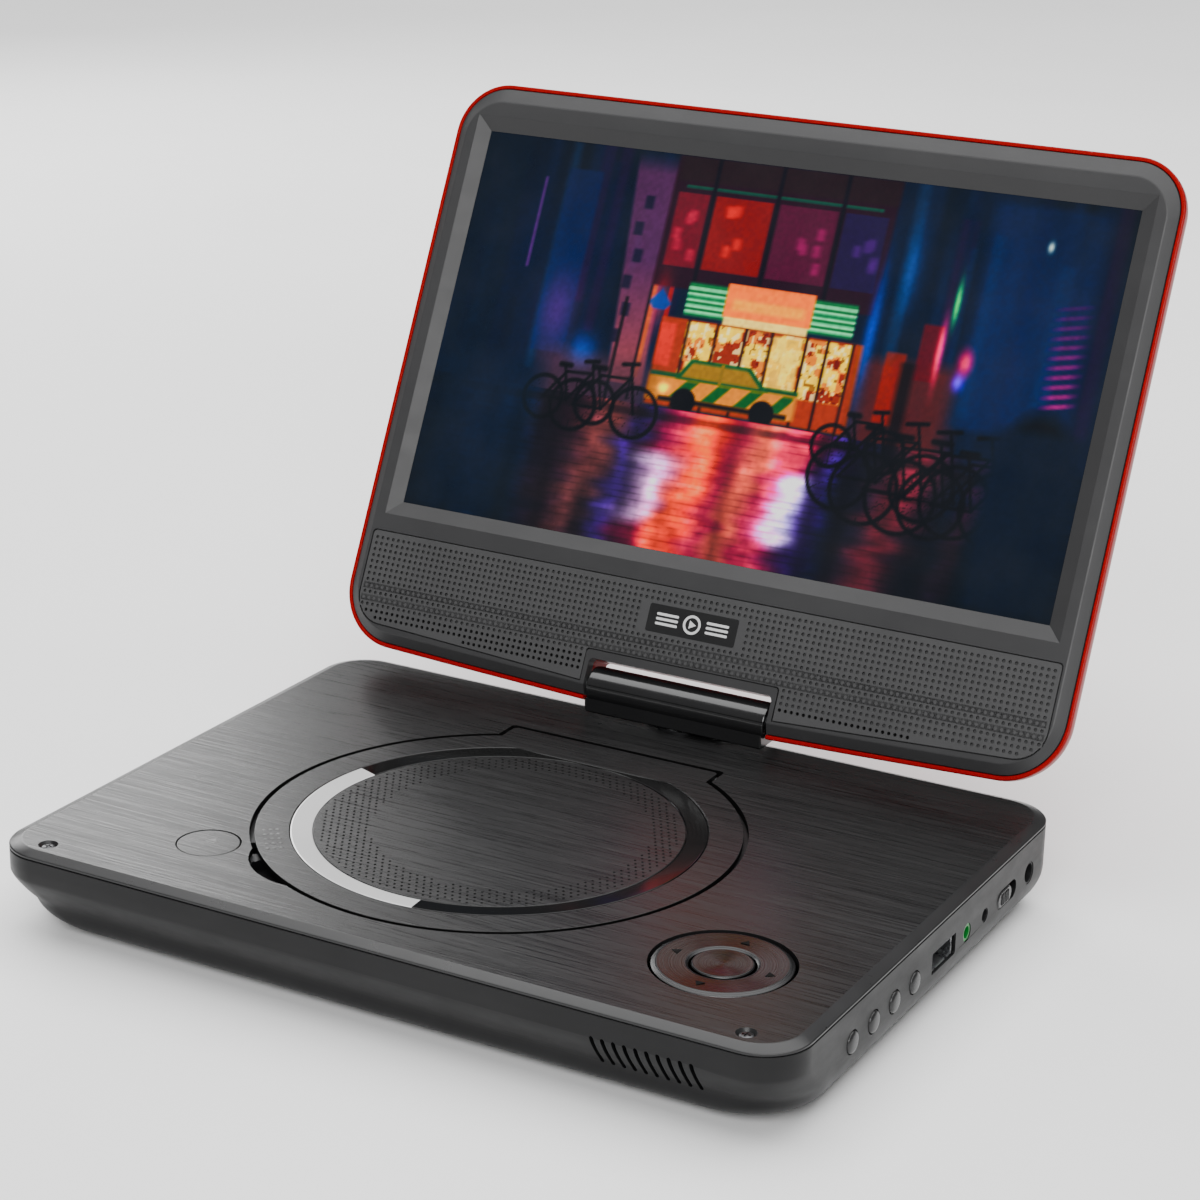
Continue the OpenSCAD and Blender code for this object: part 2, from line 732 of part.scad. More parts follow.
module nav_ring() {
    color("#8b8b8e") on_base(nav_x, nav_y) rotate_extrude() polygon([
        [nav_mid_r, -3.2], [nav_r - 0.7, -3.2], [nav_r - 0.7, -0.3],
        [nav_r - 1.5, 0.2], [nav_mid_r + 0.3, 0], [nav_mid_r, -0.2]
    ]);
}

module nav_centre_button() {
    color("#8b8b8e") on_base(nav_x, nav_y) rotate_extrude() polygon([
        [0, -6.3], [2.2, -6.3], [2.2, -3.8], [nav_mid_r - 0.6, -3.8], [nav_mid_r - 0.6, -0.2],
        [nav_mid_r - 1, 0.1], [4, -0.1], [0, -0.2]
    ]);
}

// ---- Hinge ----

module swivel_washer() {
    color("#141416") on_base() difference() {
        tongue(7.5, 0, 0.8);
        tongue(post_r + running, -5, 5);
    }
}

module swivel_bracket() {
    color("#9a9da0") on_base() difference() {
        union() {
            translate([0, swivel_y - 8, 0]) block(44, 16, -3.6, -cover_t);
            tongue(11, -3.6, -cover_t);
        }
        tongue(post_r + running, -9, 5);
    }
}

module swivel_post() {
    color("silver") on_base() difference() {
        tongue(post_r, -6.4, 1.2);
        tongue(4.2, -10, 5);
        difference() {
            tongue(9, -4.8, -3.7);
            tongue(5.8, -7, -3);
        }
    }
}

module post_clip() {
    color("#7c7f82") on_base() difference() {
        tongue(9, -4.7, -3.8);
        tongue(5.85, -7, -3);
        translate([-2.5, swivel_y, -7]) cube([5, 12, 5]);
    }
}

module barrel(r, half) {
    translate([-half, swivel_y, hinge_up]) rotate([0, 90, 0]) cylinder(r = r, h = 2 * half);
}

module hinge_solid() {
    barrel(barrel_r, block_half);
    translate([0, swivel_y, 0]) block(2 * block_half, 14, 0.9, 5.4);
}

module hinge_block() {
    color("#3c3c40") on_base() difference() {
        hinge_solid();
        translate([0, swivel_y, 0]) block(2 * block_half + 2, 30, cap_split, 20);
        barrel(3.4, 14);
        tongue(4.2, 0, 8);
        tongue(post_r + 0.02, 0.5, 1.22);
        barrel(shaft_r + running, block_half + 1);
    }
}

module hinge_cap() {
    color("#3c3c40") on_base() difference() {
        hinge_solid();
        translate([0, swivel_y, 0]) block(2 * block_half + 2, 30, -5, cap_split + 0.08);
        barrel(shaft_r + 0.4, block_half + 1);
    }
}

module tilt_shafts() {
    color("silver") on_screen() mirrored() translate([18, 0, 0]) rotate([0, 90, 0])
        cylinder(r = shaft_r, h = 24);
}

// ---- Screen unit ----

// One slice of the screen outline, its back at height z, pulled in by inset
module lid_slice(z, inset, t = 0.3) {
    top_r = 17 - inset;
    low_r = 20 - inset;
    bow_r = 10 - inset;
    for (s = [-1, 1]) {
        translate([s * (lid_w / 2 - inset - top_r), lid_high - inset - top_r, z])
            cylinder(r = top_r, h = t, $fn = hull_fn);
        translate([s * (lid_w / 2 - inset - low_r), lid_low + lid_bow + inset + low_r, z])
            cylinder(r = low_r, h = t, $fn = hull_fn);
        translate([s * 50, lid_low + 0.7 + inset + bow_r, z]) cylinder(r = bow_r, h = t, $fn = hull_fn);
    }
    translate([0, lid_low + inset + bow_r, z]) cylinder(r = bow_r, h = t, $fn = hull_fn);
}

module lid_shell(inset, z_low, z_high) {
    curve = lid_round - inset;
    hull() {
        lid_slice(z_high - 0.3, inset);
        for (a = [0 : 15 : 90]) lid_slice(z_low + curve * (1 - sin(a)), inset + curve * (1 - cos(a)));
    }
}

// The screen outline as a straight block
module lid_plug(inset, z0, z1) {
    hull() lid_slice(z0, inset, z1 - z0);
}

module notch(half, high, z0 = -20, z1 = 20) {
    translate([-half, -40, z0]) cube([2 * half, 40 + high, z1 - z0]);
}

module rear_cover() {
    color("#a00d12") on_screen() difference() {
        union() {
            difference() {
                lid_shell(0, lid_back, rim_z);
                lid_shell(2, lid_back + 1.8, rim_z + 1);
            }
            intersection() {
                lid_shell(0, lid_back, rim_z);
                notch(notch_half + 1.6, notch_high + 1.6, lid_back, seat_z);
            }
        }
        lid_plug(bezel_inset - 0.05, seat_z, 10);
        notch(notch_half, notch_high);
        shaft_hole();
        for (p = lid_screw_places()) translate([p.x, p.y, lid_back - 1]) cylinder(r = 1.5, h = 6);
        for (p = lid_screw_places()) translate([p.x, p.y, lid_back - 1]) cylinder(r = 2.9, h = 1.9);
    }
}

module shaft_hole() {
    translate([-45, 0, 0]) rotate([0, 90, 0]) cylinder(r = shaft_r + 0.2, h = 90);
}

function lid_screw_places() = [for (x = [-96, 96]) for (y = [22, 172]) [x, y]];

module lid_screws() {
    color("#303030") on_screen() for (p = lid_screw_places())
        translate([p.x, p.y, lid_back + 0.1]) screw(2.5, 0.7, 1.4, 4.2);
}

module front_bezel() {
    color("#3d3d40") on_screen() difference() {
        hull() {
            lid_slice(seat_z, bezel_inset, pic_z - seat_z);
            translate([0, -1, 0]) lid_slice(lid_front - 0.3, bezel_inset + 3.4);
        }
        hull() {
            translate([0, pic_low + pic_h / 2, 0]) block(pic_w, pic_h, pic_z - 1, pic_z);
            translate([0, pic_low + pic_h / 2, 0])
                block(pic_w + 9.6, pic_h + 9.6, lid_front, lid_front + 1);
        }
        translate([0, 106, 0]) block(235.4, 140.4, 0, pic_z - 0.02);
        grille_pocket(0.15, 5.2, 9);
        for (s = [-1, 1]) translate([s * speaker_x, 17, 0]) block(44, 20, 0, 9);
        notch(notch_half, notch_high);
        shaft_hole();
    }
}

// The speaker grille's outline, grown by gap, between two heights
module grille_pocket(gap, z0, z1) {
    w = grille_half + gap;
    h = grille_top - grille_low;
    foot = notch_half + 2.2 - gap;
    translate([0, 0, z0]) linear_extrude(z1 - z0) difference() {
        union() {
            translate([-w, grille_low + grille_r]) square([2 * w, h + gap - grille_r]);
            translate([grille_r - w, grille_low - gap]) square([2 * (w - grille_r), h]);
            for (s = [-1, 1]) translate([s * (grille_half - grille_r), grille_low + grille_r])
                circle(r = grille_r + gap);
        }
        translate([-foot, -10]) square([2 * foot, notch_high + 12 - gap]);
    }
}

module speaker_grille() {
    color("#3d3d40") on_screen() difference() {
        grille_pocket(-0.15, 5.25, lid_front);
        translate([0, 24, 0]) block(31.6, 9.2, 5.9, 8);
    }
}

module badge_plate() {
    color("#2c2c2f") on_screen() translate([0, 24, 0]) block(31.4, 9, 5.9, lid_front);
}

module lcd_panel() {
    color("#0c1c2c") on_screen() translate([0, 106, 0]) block(234.8, 139.8, -0.2, pic_z - 0.06);
}

module screen_board() {
    color("#1e5b3a") on_screen() translate([0, 104, 0]) block(120, 60, -1.4, -0.2);
}

module speakers() {
    color("#242426") on_screen() for (s = [-1, 1]) translate([s * speaker_x, 17, 0]) difference() {
        block(42, 18, -1.8, 2.3);
        block(36, 13, 1.3, 5);
    }
}

module hinge_brackets() {
    color("#9a9da0") on_screen() mirrored() difference() {
        union() {
            translate([36, 0, -3.6]) cube([2, 30, 5.9]);
            translate([36, 10, -4.7]) cube([14, 20, 1.6]);
        }
        rotate([0, 90, 0]) cylinder(r = shaft_r, h = 50);
        for (y = [15, 25]) translate([44, y, -10]) cylinder(r = 1.3, h = 10);
    }
}

module bracket_screws() {
    color("silver") on_screen() mirrored() for (y = [15, 25]) translate([44, y, -2.3]) mirror([0, 0, 1])
        screw(2.3, 0.8, 1.25, 1.5);
}

bottom_case();
top_cover();
disc_tray();
loader_chassis();
spindle_motor();
guide_rods();
sled_motor();
chassis_dampers();
main_board();
key_board();
battery_pack();
battery_door();
battery_door_screw();
rubber_feet();
case_screws();
cover_screws();
dc_jack();
av_jack();
headphone_jack();
usb_socket();
power_switch();
side_key_switches();
swivel_bracket();
swivel_washer();
open_button_spring();
disc_lid_panel();
disc_lid_ring();
disc_lid_plate();
disc_lid_pins();
open_button();
door_latch();
nav_rocker_frame();
nav_ring();
nav_centre_button();
side_button_1();
side_button_2();
side_button_3();
side_button_4();
power_switch_knob();
spindle_hub();
hub_balls();
pickup_sled();
pickup_lens();
lead_screw();
hinge_block();
hinge_cap();
swivel_post();
post_clip();
front_bezel();
speaker_grille();
badge_plate();
rear_cover();
lcd_panel();
screen_board();
speakers();
hinge_brackets();
tilt_shafts();
bracket_screws();
lid_screws();
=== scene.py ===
import math

import bmesh
import bpy
import numpy as np
from mathutils import Matrix, Vector


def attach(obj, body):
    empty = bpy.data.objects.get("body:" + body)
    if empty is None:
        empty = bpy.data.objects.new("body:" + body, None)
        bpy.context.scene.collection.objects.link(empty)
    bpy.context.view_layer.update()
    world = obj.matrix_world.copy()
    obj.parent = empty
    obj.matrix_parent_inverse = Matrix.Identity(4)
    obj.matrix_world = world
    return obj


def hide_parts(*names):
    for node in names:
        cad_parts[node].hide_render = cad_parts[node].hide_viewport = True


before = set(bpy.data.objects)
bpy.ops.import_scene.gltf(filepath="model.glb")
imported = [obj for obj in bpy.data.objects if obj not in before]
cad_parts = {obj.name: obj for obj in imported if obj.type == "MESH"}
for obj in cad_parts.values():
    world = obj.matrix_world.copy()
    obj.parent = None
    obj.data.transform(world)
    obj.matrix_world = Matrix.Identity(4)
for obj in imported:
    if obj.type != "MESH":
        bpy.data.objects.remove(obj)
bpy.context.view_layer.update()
rng = np.random.default_rng(7)

# ---- Sizes in millimetres, as in the CAD ----

MM = 0.001
BASE_W = 246.8
BASE_D = 181.8
BASE_CY = -40.4
TOP_Z = 28.0
FOOT_H = 1.3
BASE_R = 14.0
CASE_H = TOP_Z - FOOT_H
RIM_W = 3.4
RIGHT = BASE_W / 2
FRONT = -BASE_D / 2
BACK = BASE_D / 2
SIDE_START = 14.9
SIDE_R = CASE_H - SIDE_START
FRONT_START = 8.5
FRONT_R = 8.5
FRONT_IN = 15.2
DISC = (-8.1, -6.7)
BAY_R = 70.6
BAY_GAP = 0.8
TAB_HALF = 35.7
TAB_BACK = 68.4
RING_RO = 59.3
RING_RI = 53.0
NAV = (85.9, -51.9)
NAV_R = 19.6
NAV_MID_R = 8.9
OPEN = (-71.2, -59.2)
OPEN_R = 8.9
SIDE_DROP = 12.2
DC_Y = 67.9
SWITCH_Y = 50.9
AV_Y = 34.9
PHONES_Y = 22.0
USB_Y = 6.0
KEY_Y = -13.6
KEY_PITCH = 13.05
KEY_R = 3.1
HINGE_Y = 48.2
HINGE_UP = 7.4
BLOCK_HALF = 30.6
BARREL_R = 6.2
LEAN = 25.5
LID_W = 248.6
LID_LOW = -6.0
LID_BOW = 3.4
LID_HIGH = 185.7
LID_FRONT = 6.3
LID_BACK = -6.5
RIM_Z = 4.5
PIC_W = 222.7
PIC_H = 125.0
PIC_LOW = 44.7
PIC_Z = 4.4
NOTCH_HALF = 31.6
NOTCH_HIGH = 7.8
BEZEL_INSET = 1.4
SWIVEL_Y = HINGE_Y - BASE_CY
WALL = 2.0
TONGUE_R = 13.0
BATTERY_X = -98.0
VENT_SLOTS = 10
VENT_X = 69.0
VENT_PITCH = 3.13
VENT_DROP = 13.3
COVER_SCREW = (108.3, FRONT + 7.6)
NAV_MARK_R = 13.8
LATCH_ANGLE = -140
# Cover faces nearer the disc centre than this can be walls of the gap round the disc lid
GAP_ZONE = 78.0

# ---- Places ----


def turned(place, degrees, axis="Z"):
    """The place, turned about one of its own axes."""
    return place @ Matrix.Rotation(math.radians(degrees), 4, axis)


def moved(place, x=0.0, y=0.0, z=0.0):
    """The place, shifted along its own axes."""
    return place @ Matrix.Translation((x, y, z))


def at_base(x=0.0, y=0.0, z=0.0):
    """XY from the middle of the base, Z from its top face."""
    return Matrix.Translation((x, BASE_CY + y, TOP_Z + z))


def at_right(y, drop=SIDE_DROP):
    """Z pointing out of the right wall."""
    return turned(at_base(RIGHT, y, -drop), 90, "Y")


AT_DISC = at_base(*DISC)
# The screen's own frame: X to the right, Y up the screen from the tilt axis, Z out of the picture
AT_SCREEN = turned(Matrix.Translation((0, HINGE_Y, TOP_Z + HINGE_UP)), 90 - LEAN, "X")

# ---- Mesh helpers: every shape is made in millimetres and placed by a matrix ----


def make(name, verts, faces, place=None):
    """A mesh object from points in millimetres."""
    mesh = bpy.data.meshes.new(name)
    mesh.from_pydata([tuple(v) for v in verts], [], faces)
    mesh.update()
    obj = bpy.data.objects.new(name, mesh)
    bpy.context.scene.collection.objects.link(obj)
    m = Matrix.Scale(MM, 4) @ (place if place is not None else Matrix.Identity(4))
    mesh.transform(m)
    bm = bmesh.new()
    bm.from_mesh(mesh)
    bmesh.ops.remove_doubles(bm, verts=bm.verts, dist=1e-7)
    bmesh.ops.recalc_face_normals(bm, faces=bm.faces)
    bm.to_mesh(mesh)
    bm.free()
    return obj


def loft(name, rings, place=None, cap_low=True, cap_high=True):
    """Skins closed rings of equal length, in order."""
    n = len(rings[0])
    verts = [p for ring in rings for p in ring]
    faces = []
    for k in range(len(rings) - 1):
        for i in range(n):
            j = (i + 1) % n
            faces.append((k * n + i, k * n + j, (k + 1) * n + j, (k + 1) * n + i))
    if cap_low:
        faces.append(tuple(reversed(range(n))))
    if cap_high:
        faces.append(tuple((len(rings) - 1) * n + i for i in range(n)))
    return make(name, verts, faces, place)


def revolve(name, profile, place=None, seg=96):
    """Turns a profile of (r, z) points about Z. A point with r = 0 closes the end."""
    verts = []
    rows = []
    for r, z in profile:
        if r < 1e-6:
            rows.append([len(verts)] * seg)
            verts.append((0, 0, z))
        else:
            rows.append(list(range(len(verts), len(verts) + seg)))
            turns = [2 * math.pi * i / seg for i in range(seg)]
            verts += [(r * math.cos(a), r * math.sin(a), z) for a in turns]
    faces = []
    for low, high in zip(rows, rows[1:]):
        for i in range(seg):
            j = (i + 1) % seg
            face = []
            for v in (low[i], low[j], high[j], high[i]):
                if v not in face:
                    face.append(v)
            if len(face) > 2:
                faces.append(tuple(face))
    return make(name, verts, faces, place)


def prism(name, outline, z0, z1, place=None, edge=0.0):
    """A straight block over an outline, its top edge bevelled by edge."""
    rings = [[(x, y, z0) for x, y in outline]]
    if edge:
        rings.append([(x, y, z1 - edge) for x, y in outline])
        rings.append([(x, y, z1) for x, y in inset_points(outline, edge)])
    else:
        rings.append([(x, y, z1) for x, y in outline])
    return loft(name, rings, place)


def inset_points(points, d):
    """Moves a convex-ish counterclockwise outline inwards by d."""
    out = []
    n = len(points)
    for i in range(n):
        a = Vector(points[i - 1])
        b = Vector(points[i])
        c = Vector(points[(i + 1) % n])
        e = (b - a).normalized()
        f = (c - b).normalized()
        ne = Vector((-e.y, e.x))
        nf = Vector((-f.y, f.x))
        m = ne + nf
        if m.length < 1e-6:
            m = ne
        m = m.normalized()
        k = max(0.3, m.dot(ne))
        out.append((b.x + m.x * d / k, b.y + m.y * d / k))
    return out


def arc(cx, cy, r, a0, a1, n):
    """Points of an arc, both ends included, angles in degrees."""
    turns = [math.radians(a0 + (a1 - a0) * i / n) for i in range(n + 1)]
    return [(cx + r * math.cos(a), cy + r * math.sin(a)) for a in turns]


def rect(x0, x1, y0, y1, r, n=8):
    """A rounded rectangle, counterclockwise."""
    return (
        arc(x1 - r, y0 + r, r, -90, 0, n)
        + arc(x1 - r, y1 - r, r, 0, 90, n)
        + arc(x0 + r, y1 - r, r, 90, 180, n)
        + arc(x0 + r, y0 + r, r, 180, 270, n)
    )


def box(name, x0, x1, y0, y1, z0, z1, place=None):
    """A cutter block."""
    return prism(name, [(x0, y0), (x1, y0), (x1, y1), (x0, y1)], z0, z1, place)


def apply_modifiers(obj):
    """Bakes an object's modifiers into its mesh."""
    graph = bpy.context.evaluated_depsgraph_get()
    mesh = bpy.data.meshes.new_from_object(obj.evaluated_get(graph))
    obj.modifiers.clear()
    old = obj.data
    obj.data = mesh
    bpy.data.meshes.remove(old)


def carve(obj, cutters, operation="DIFFERENCE"):
    """Cuts, or joins, a list of solids and removes them."""
    for c in cutters:
        m = obj.modifiers.new("carve", "BOOLEAN")
        m.operation = operation
        m.solver = "EXACT"
        m.object = c
        apply_modifiers(obj)
        bpy.data.objects.remove(c, do_unlink=True)
    return obj


def soften(obj, width, segments=2, angle=35):
    """Rounds the sharp edges by width, in millimetres."""
    m = obj.modifiers.new("edge", "BEVEL")
    m.width = width * MM
    m.segments = segments
    m.limit_method = "ANGLE"
    m.angle_limit = math.radians(angle)
    m.use_clamp_overlap = True
    m.harden_normals = False
    apply_modifiers(obj)
    return obj


def merge(name, objs):
    """Joins separate bodies of one moulding into a single mesh."""
    bm = bmesh.new()
    for o in objs:
        bm.from_mesh(o.data)
    mesh = bpy.data.meshes.new(name)
    bm.to_mesh(mesh)
    bm.free()
    for o in objs:
        bpy.data.objects.remove(o, do_unlink=True)
    obj = bpy.data.objects.new(name, mesh)
    bpy.context.scene.collection.objects.link(obj)
    return obj


def shade(obj, angle=32):
    """Smooth shading with edges sharper than angle kept crisp."""
    bm = bmesh.new()
    bm.from_mesh(obj.data)
    limit = math.radians(angle)
    for f in bm.faces:
        f.smooth = True
    for e in bm.edges:
        e.smooth = len(e.link_faces) == 2 and e.calc_face_angle(0) < limit
    bm.to_mesh(obj.data)
    bm.free()
    normals = obj.modifiers.new("normals", "WEIGHTED_NORMAL")
    normals.keep_sharp = True


def piece(obj, body, material, replaces=(), angle=32):
    """Hands a finished mesh to its body."""
    shade(obj, angle)
    obj.data.materials.clear()
    obj.data.materials.append(material)
    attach(obj, body)
    if replaces:
        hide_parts(*replaces)
    return obj


# ---- Materials ----


class Graph:
    """A small wrapper for building node materials."""

    def __init__(self, name):
        self.mat = bpy.data.materials.new(name)
        self.mat.use_nodes = True
        self.tree = self.mat.node_tree
        self.bsdf = self.tree.nodes["Principled BSDF"]

    def add(self, kind, **props):
        node = self.tree.nodes.new(kind)
        for k, v in props.items():
            setattr(node, k, v)
        return node

    def link(self, a, b):
        self.tree.links.new(a, b)

    def feed(self, socket, value):
        """Links a value to one of the shader's own sockets."""
        self.link(value, self.bsdf.inputs[socket])

    def coords(self, stretch=(1, 1, 1), shift=(0, 0, 0)):
        """Object coordinates in metres, stretched and shifted."""
        tex = self.add("ShaderNodeTexCoord")
        mapping = self.add("ShaderNodeMapping")
        mapping.inputs["Scale"].default_value = stretch
        mapping.inputs["Location"].default_value = shift
        self.link(tex.outputs["Object"], mapping.inputs["Vector"])
        return mapping.outputs["Vector"]

    def noise(self, scale, detail=3.0, rough=0.5, **where):
        n = self.add("ShaderNodeTexNoise")
        n.inputs["Scale"].default_value = scale
        n.inputs["Detail"].default_value = detail
        n.inputs["Roughness"].default_value = rough
        self.link(self.coords(**where), n.inputs["Vector"])
        return n.outputs["Fac"]

    def ramp(self, fac, stops):
        """Colours over a value, from (position, colour) stops."""
        r = self.add("ShaderNodeValToRGB")
        el = r.color_ramp.elements
        while len(el) < len(stops):
            el.new(0.5)
        for e, (pos, col) in zip(el, stops):
            e.position = pos
            e.color = (*col, 1)
        self.link(fac, r.inputs["Fac"])
        return r.outputs["Color"]

    def span(self, fac, low, high, start=0.0, end=1.0):
        """Maps start..end of a value onto low..high."""
        m = self.add("ShaderNodeMapRange")
        m.inputs["From Min"].default_value = start
        m.inputs["From Max"].default_value = end
        m.inputs["To Min"].default_value = low
        m.inputs["To Max"].default_value = high
        self.link(fac, m.inputs["Value"])
        return m.outputs["Result"]

    def mix(self, a, b, factor):
        m = self.add("ShaderNodeMix", data_type="RGBA")
        m.inputs["Factor"].default_value = factor
        self.link(a, m.inputs["A"])
        self.link(b, m.inputs["B"])
        return m.outputs["Result"]

    def bump(self, height, strength, distance):
        b = self.add("ShaderNodeBump")
        b.inputs["Strength"].default_value = strength
        b.inputs["Distance"].default_value = distance
        self.link(height, b.inputs["Height"])
        return b.outputs["Normal"]

    def set(self, **values):
        """Constants on the shader's own sockets, an underscore for each space."""
        for k, v in values.items():
            self.bsdf.inputs[k.replace("_", " ")].default_value = v


def grey(level, blue=None):
    """A grey, a little bluer where blue is given."""
    return (level, level, level if blue is None else blue)


def plastic(name, dark, light, rough, grain, bump, specular=0.5, coat=0.0, coat_rough=0.1):
    """Moulded plastic: fine spark-eroded grain, faint mottling and handling marks."""
    g = Graph(name)
    cloud = g.noise(22.0, 5.0, 0.6)
    g.feed("Base Color", g.ramp(cloud, [(0.3, dark), (0.7, light)]))
    smear = g.noise(60.0, 4.0, 0.65, stretch=(1, 1, 2.5))
    g.feed("Roughness", g.span(smear, rough[0], rough[1], 0.3, 0.7))
    fine = g.noise(grain, 2.0, 0.5)
    g.feed("Normal", g.bump(fine, bump, 0.00004))
    g.set(Specular_IOR_Level=specular, Coat_Weight=coat, Coat_Roughness=coat_rough)
    return g.mat


def brushed(name, dark, light, metallic, rough, bump):
    """Brushed surface: long thin streaks along X in colour, roughness and relief."""
    g = Graph(name)
    streak = g.noise(1.0, 4.0, 0.7, stretch=(14, 2400, 2400))
    fine = g.noise(1.0, 3.0, 0.7, stretch=(60, 5200, 5200), shift=(3, 5, 7))
    both = g.mix(streak, fine, 0.5)
    middle = [0.5 * (a + b) for a, b in zip(dark, light)]
    g.feed("Base Color", g.ramp(both, [(0.4, dark), (0.5, middle), (0.6, light)]))
    g.feed("Roughness", g.span(both, rough[0], rough[1], 0.4, 0.6))
    g.feed("Normal", g.bump(both, bump, 0.00005))
    g.set(Metallic=metallic, Specular_IOR_Level=0.4)
    return g.mat


def metal(name, dark, light, rough=(0.2, 0.4), grain=400.0):
    """Plain machined or plated metal with fine scratches."""
    g = Graph(name)
    cloud = g.noise(grain, 4.0, 0.6)
    g.feed("Base Color", g.ramp(cloud, [(0.3, dark), (0.7, light)]))
    g.feed("Roughness", g.span(cloud, rough[0], rough[1], 0.3, 0.7))
    scratch = g.noise(1.0, 3.0, 0.6, stretch=(1500, 60, 1500))
    g.feed("Normal", g.bump(scratch, 0.1, 0.00003))
    g.set(Metallic=1.0)
    return g.mat


def spun(name, centre, dark, light, metallic, rough):
    """Turned metal look: fine concentric grooves round a centre in the base's XY plane."""
    g = Graph(name)
    tex = g.add("ShaderNodeTexCoord")
    mapping = g.add("ShaderNodeMapping")
    mapping.inputs["Location"].default_value = (-centre[0] * MM, -(BASE_CY + centre[1]) * MM, 0)
    g.link(tex.outputs["Object"], mapping.inputs["Vector"])
    flat = g.add("ShaderNodeVectorMath", operation="MULTIPLY")
    flat.inputs[1].default_value = (1, 1, 0)
    g.link(mapping.outputs["Vector"], flat.inputs[0])
    length = g.add("ShaderNodeVectorMath", operation="LENGTH")
    g.link(flat.outputs["Vector"], length.inputs[0])
    groove = g.add("ShaderNodeTexNoise", noise_dimensions="1D")
    groove.inputs["Scale"].default_value = 5200.0
    groove.inputs["Detail"].default_value = 2.0
    g.link(length.outputs["Value"], groove.inputs["W"])
    g.feed("Base Color", g.ramp(groove.outputs["Fac"], [(0.3, dark), (0.7, light)]))
    g.feed("Roughness", g.span(groove.outputs["Fac"], rough[0], rough[1], 0.3, 0.7))
    g.feed("Normal", g.bump(groove.outputs["Fac"], 0.3, 0.00003))
    tangent = g.add("ShaderNodeTangent", direction_type="RADIAL", axis="Z")
    g.feed("Tangent", tangent.outputs["Tangent"])
    g.set(Metallic=metallic, Anisotropic=0.9)
    return g.mat


def board(name):
    """Circuit board: green mask over faint copper tracks."""
    g = Graph(name)
    cells = g.add("ShaderNodeTexBrick")
    cells.inputs["Color1"].default_value = (0.012, 0.09, 0.04, 1)
    cells.inputs["Color2"].default_value = (0.018, 0.13, 0.055, 1)
    cells.inputs["Mortar"].default_value = (0.05, 0.2, 0.08, 1)
    cells.inputs["Scale"].default_value = 300.0
    cells.inputs["Mortar Size"].default_value = 0.03
    g.link(g.coords(), cells.inputs["Vector"])
    g.feed("Base Color", cells.outputs["Color"])
    wear = g.noise(90.0, 3.0)
    g.feed("Roughness", g.span(wear, 0.25, 0.45))
    g.feed("Normal", g.bump(cells.outputs["Fac"], 0.2, 0.00005))
    return g.mat


def lacquer(name, dark, light):
    """Red lacquer: deep gloss coat over a fine pearl."""
    g = Graph(name)
    pearl = g.noise(2600.0, 2.0)
    g.feed("Base Color", g.ramp(pearl, [(0.35, dark), (0.65, light)]))
    haze = g.noise(30.0, 4.0)
    g.feed("Roughness", g.span(haze, 0.24, 0.34))
    ripple = g.noise(45.0, 2.0)
    g.feed("Normal", g.bump(ripple, 0.08, 0.0004))
    g.set(Coat_Weight=0.06, Coat_Roughness=0.12, Specular_IOR_Level=0.1)
    return g.mat


def picture_material(name):
    """The lit display: colours painted on the mesh, under a smooth surface."""
    g = Graph(name)
    colour = g.add("ShaderNodeVertexColor", layer_name="picture")
    g.feed("Emission Color", colour.outputs["Color"])
    dirt = g.noise(60.0, 4.0)
    g.feed("Base Color", g.ramp(dirt, [(0.3, (0.004, 0.005, 0.007)), (0.7, (0.007, 0.008, 0.01))]))
    g.feed("Roughness", g.span(dirt, 0.12, 0.2))
    g.feed("Normal", g.bump(g.noise(400.0, 2.0), 0.03, 0.00002))
    g.set(Emission_Strength=1.5, Specular_IOR_Level=0.2)
    return g.mat


M_CASE = plastic("case plastic", grey(0.004, 0.0044), grey(0.007, 0.0074), (0.36, 0.48), 1100.0, 0.2, 0.22)
M_COVER = brushed("brushed cover", grey(0.002, 0.0021), grey(0.018, 0.0184), 0.3, (0.22, 0.45), 0.5)
M_RIM = plastic("smooth rim", grey(0.007, 0.0075), grey(0.011, 0.0115), (0.26, 0.34), 1100.0, 0.08, 0.4)
M_RING = plastic("ring gloss", grey(0.001), grey(0.002), (0.08, 0.13), 200.0, 0.02, 0.12, 0.12, 0.04)
M_INNER = plastic("inner plastic", grey(0.004, 0.0045), grey(0.008, 0.0085), (0.4, 0.55), 1200.0, 0.3, 0.3)
M_BEZEL = plastic("bezel plastic", grey(0.029, 0.03), grey(0.034, 0.035), (0.36, 0.44), 1000.0, 0.1, 0.3)
M_GRILLE = plastic("grille plastic", grey(0.044, 0.045), grey(0.051, 0.052), (0.4, 0.48), 1400.0, 0.2, 0.3)
# Matt near-black: the own colour of black marks, plate bumps and the screen panel, and painted shade on the
# walls of the disc-lid gap and behind the grille holes
M_BLACK_AND_SHADE = plastic("black and painted shade", grey(0.001), grey(0.002), (0.6, 0.8), 900.0, 0.2, 0.1)
M_BADGE = plastic("badge plate", grey(0.01, 0.0105), grey(0.014, 0.0145), (0.3, 0.38), 900.0, 0.05, 0.3)
M_RED = lacquer("red lacquer", (0.2, 0.0, 0.0), (0.28, 0.0, 0.001))
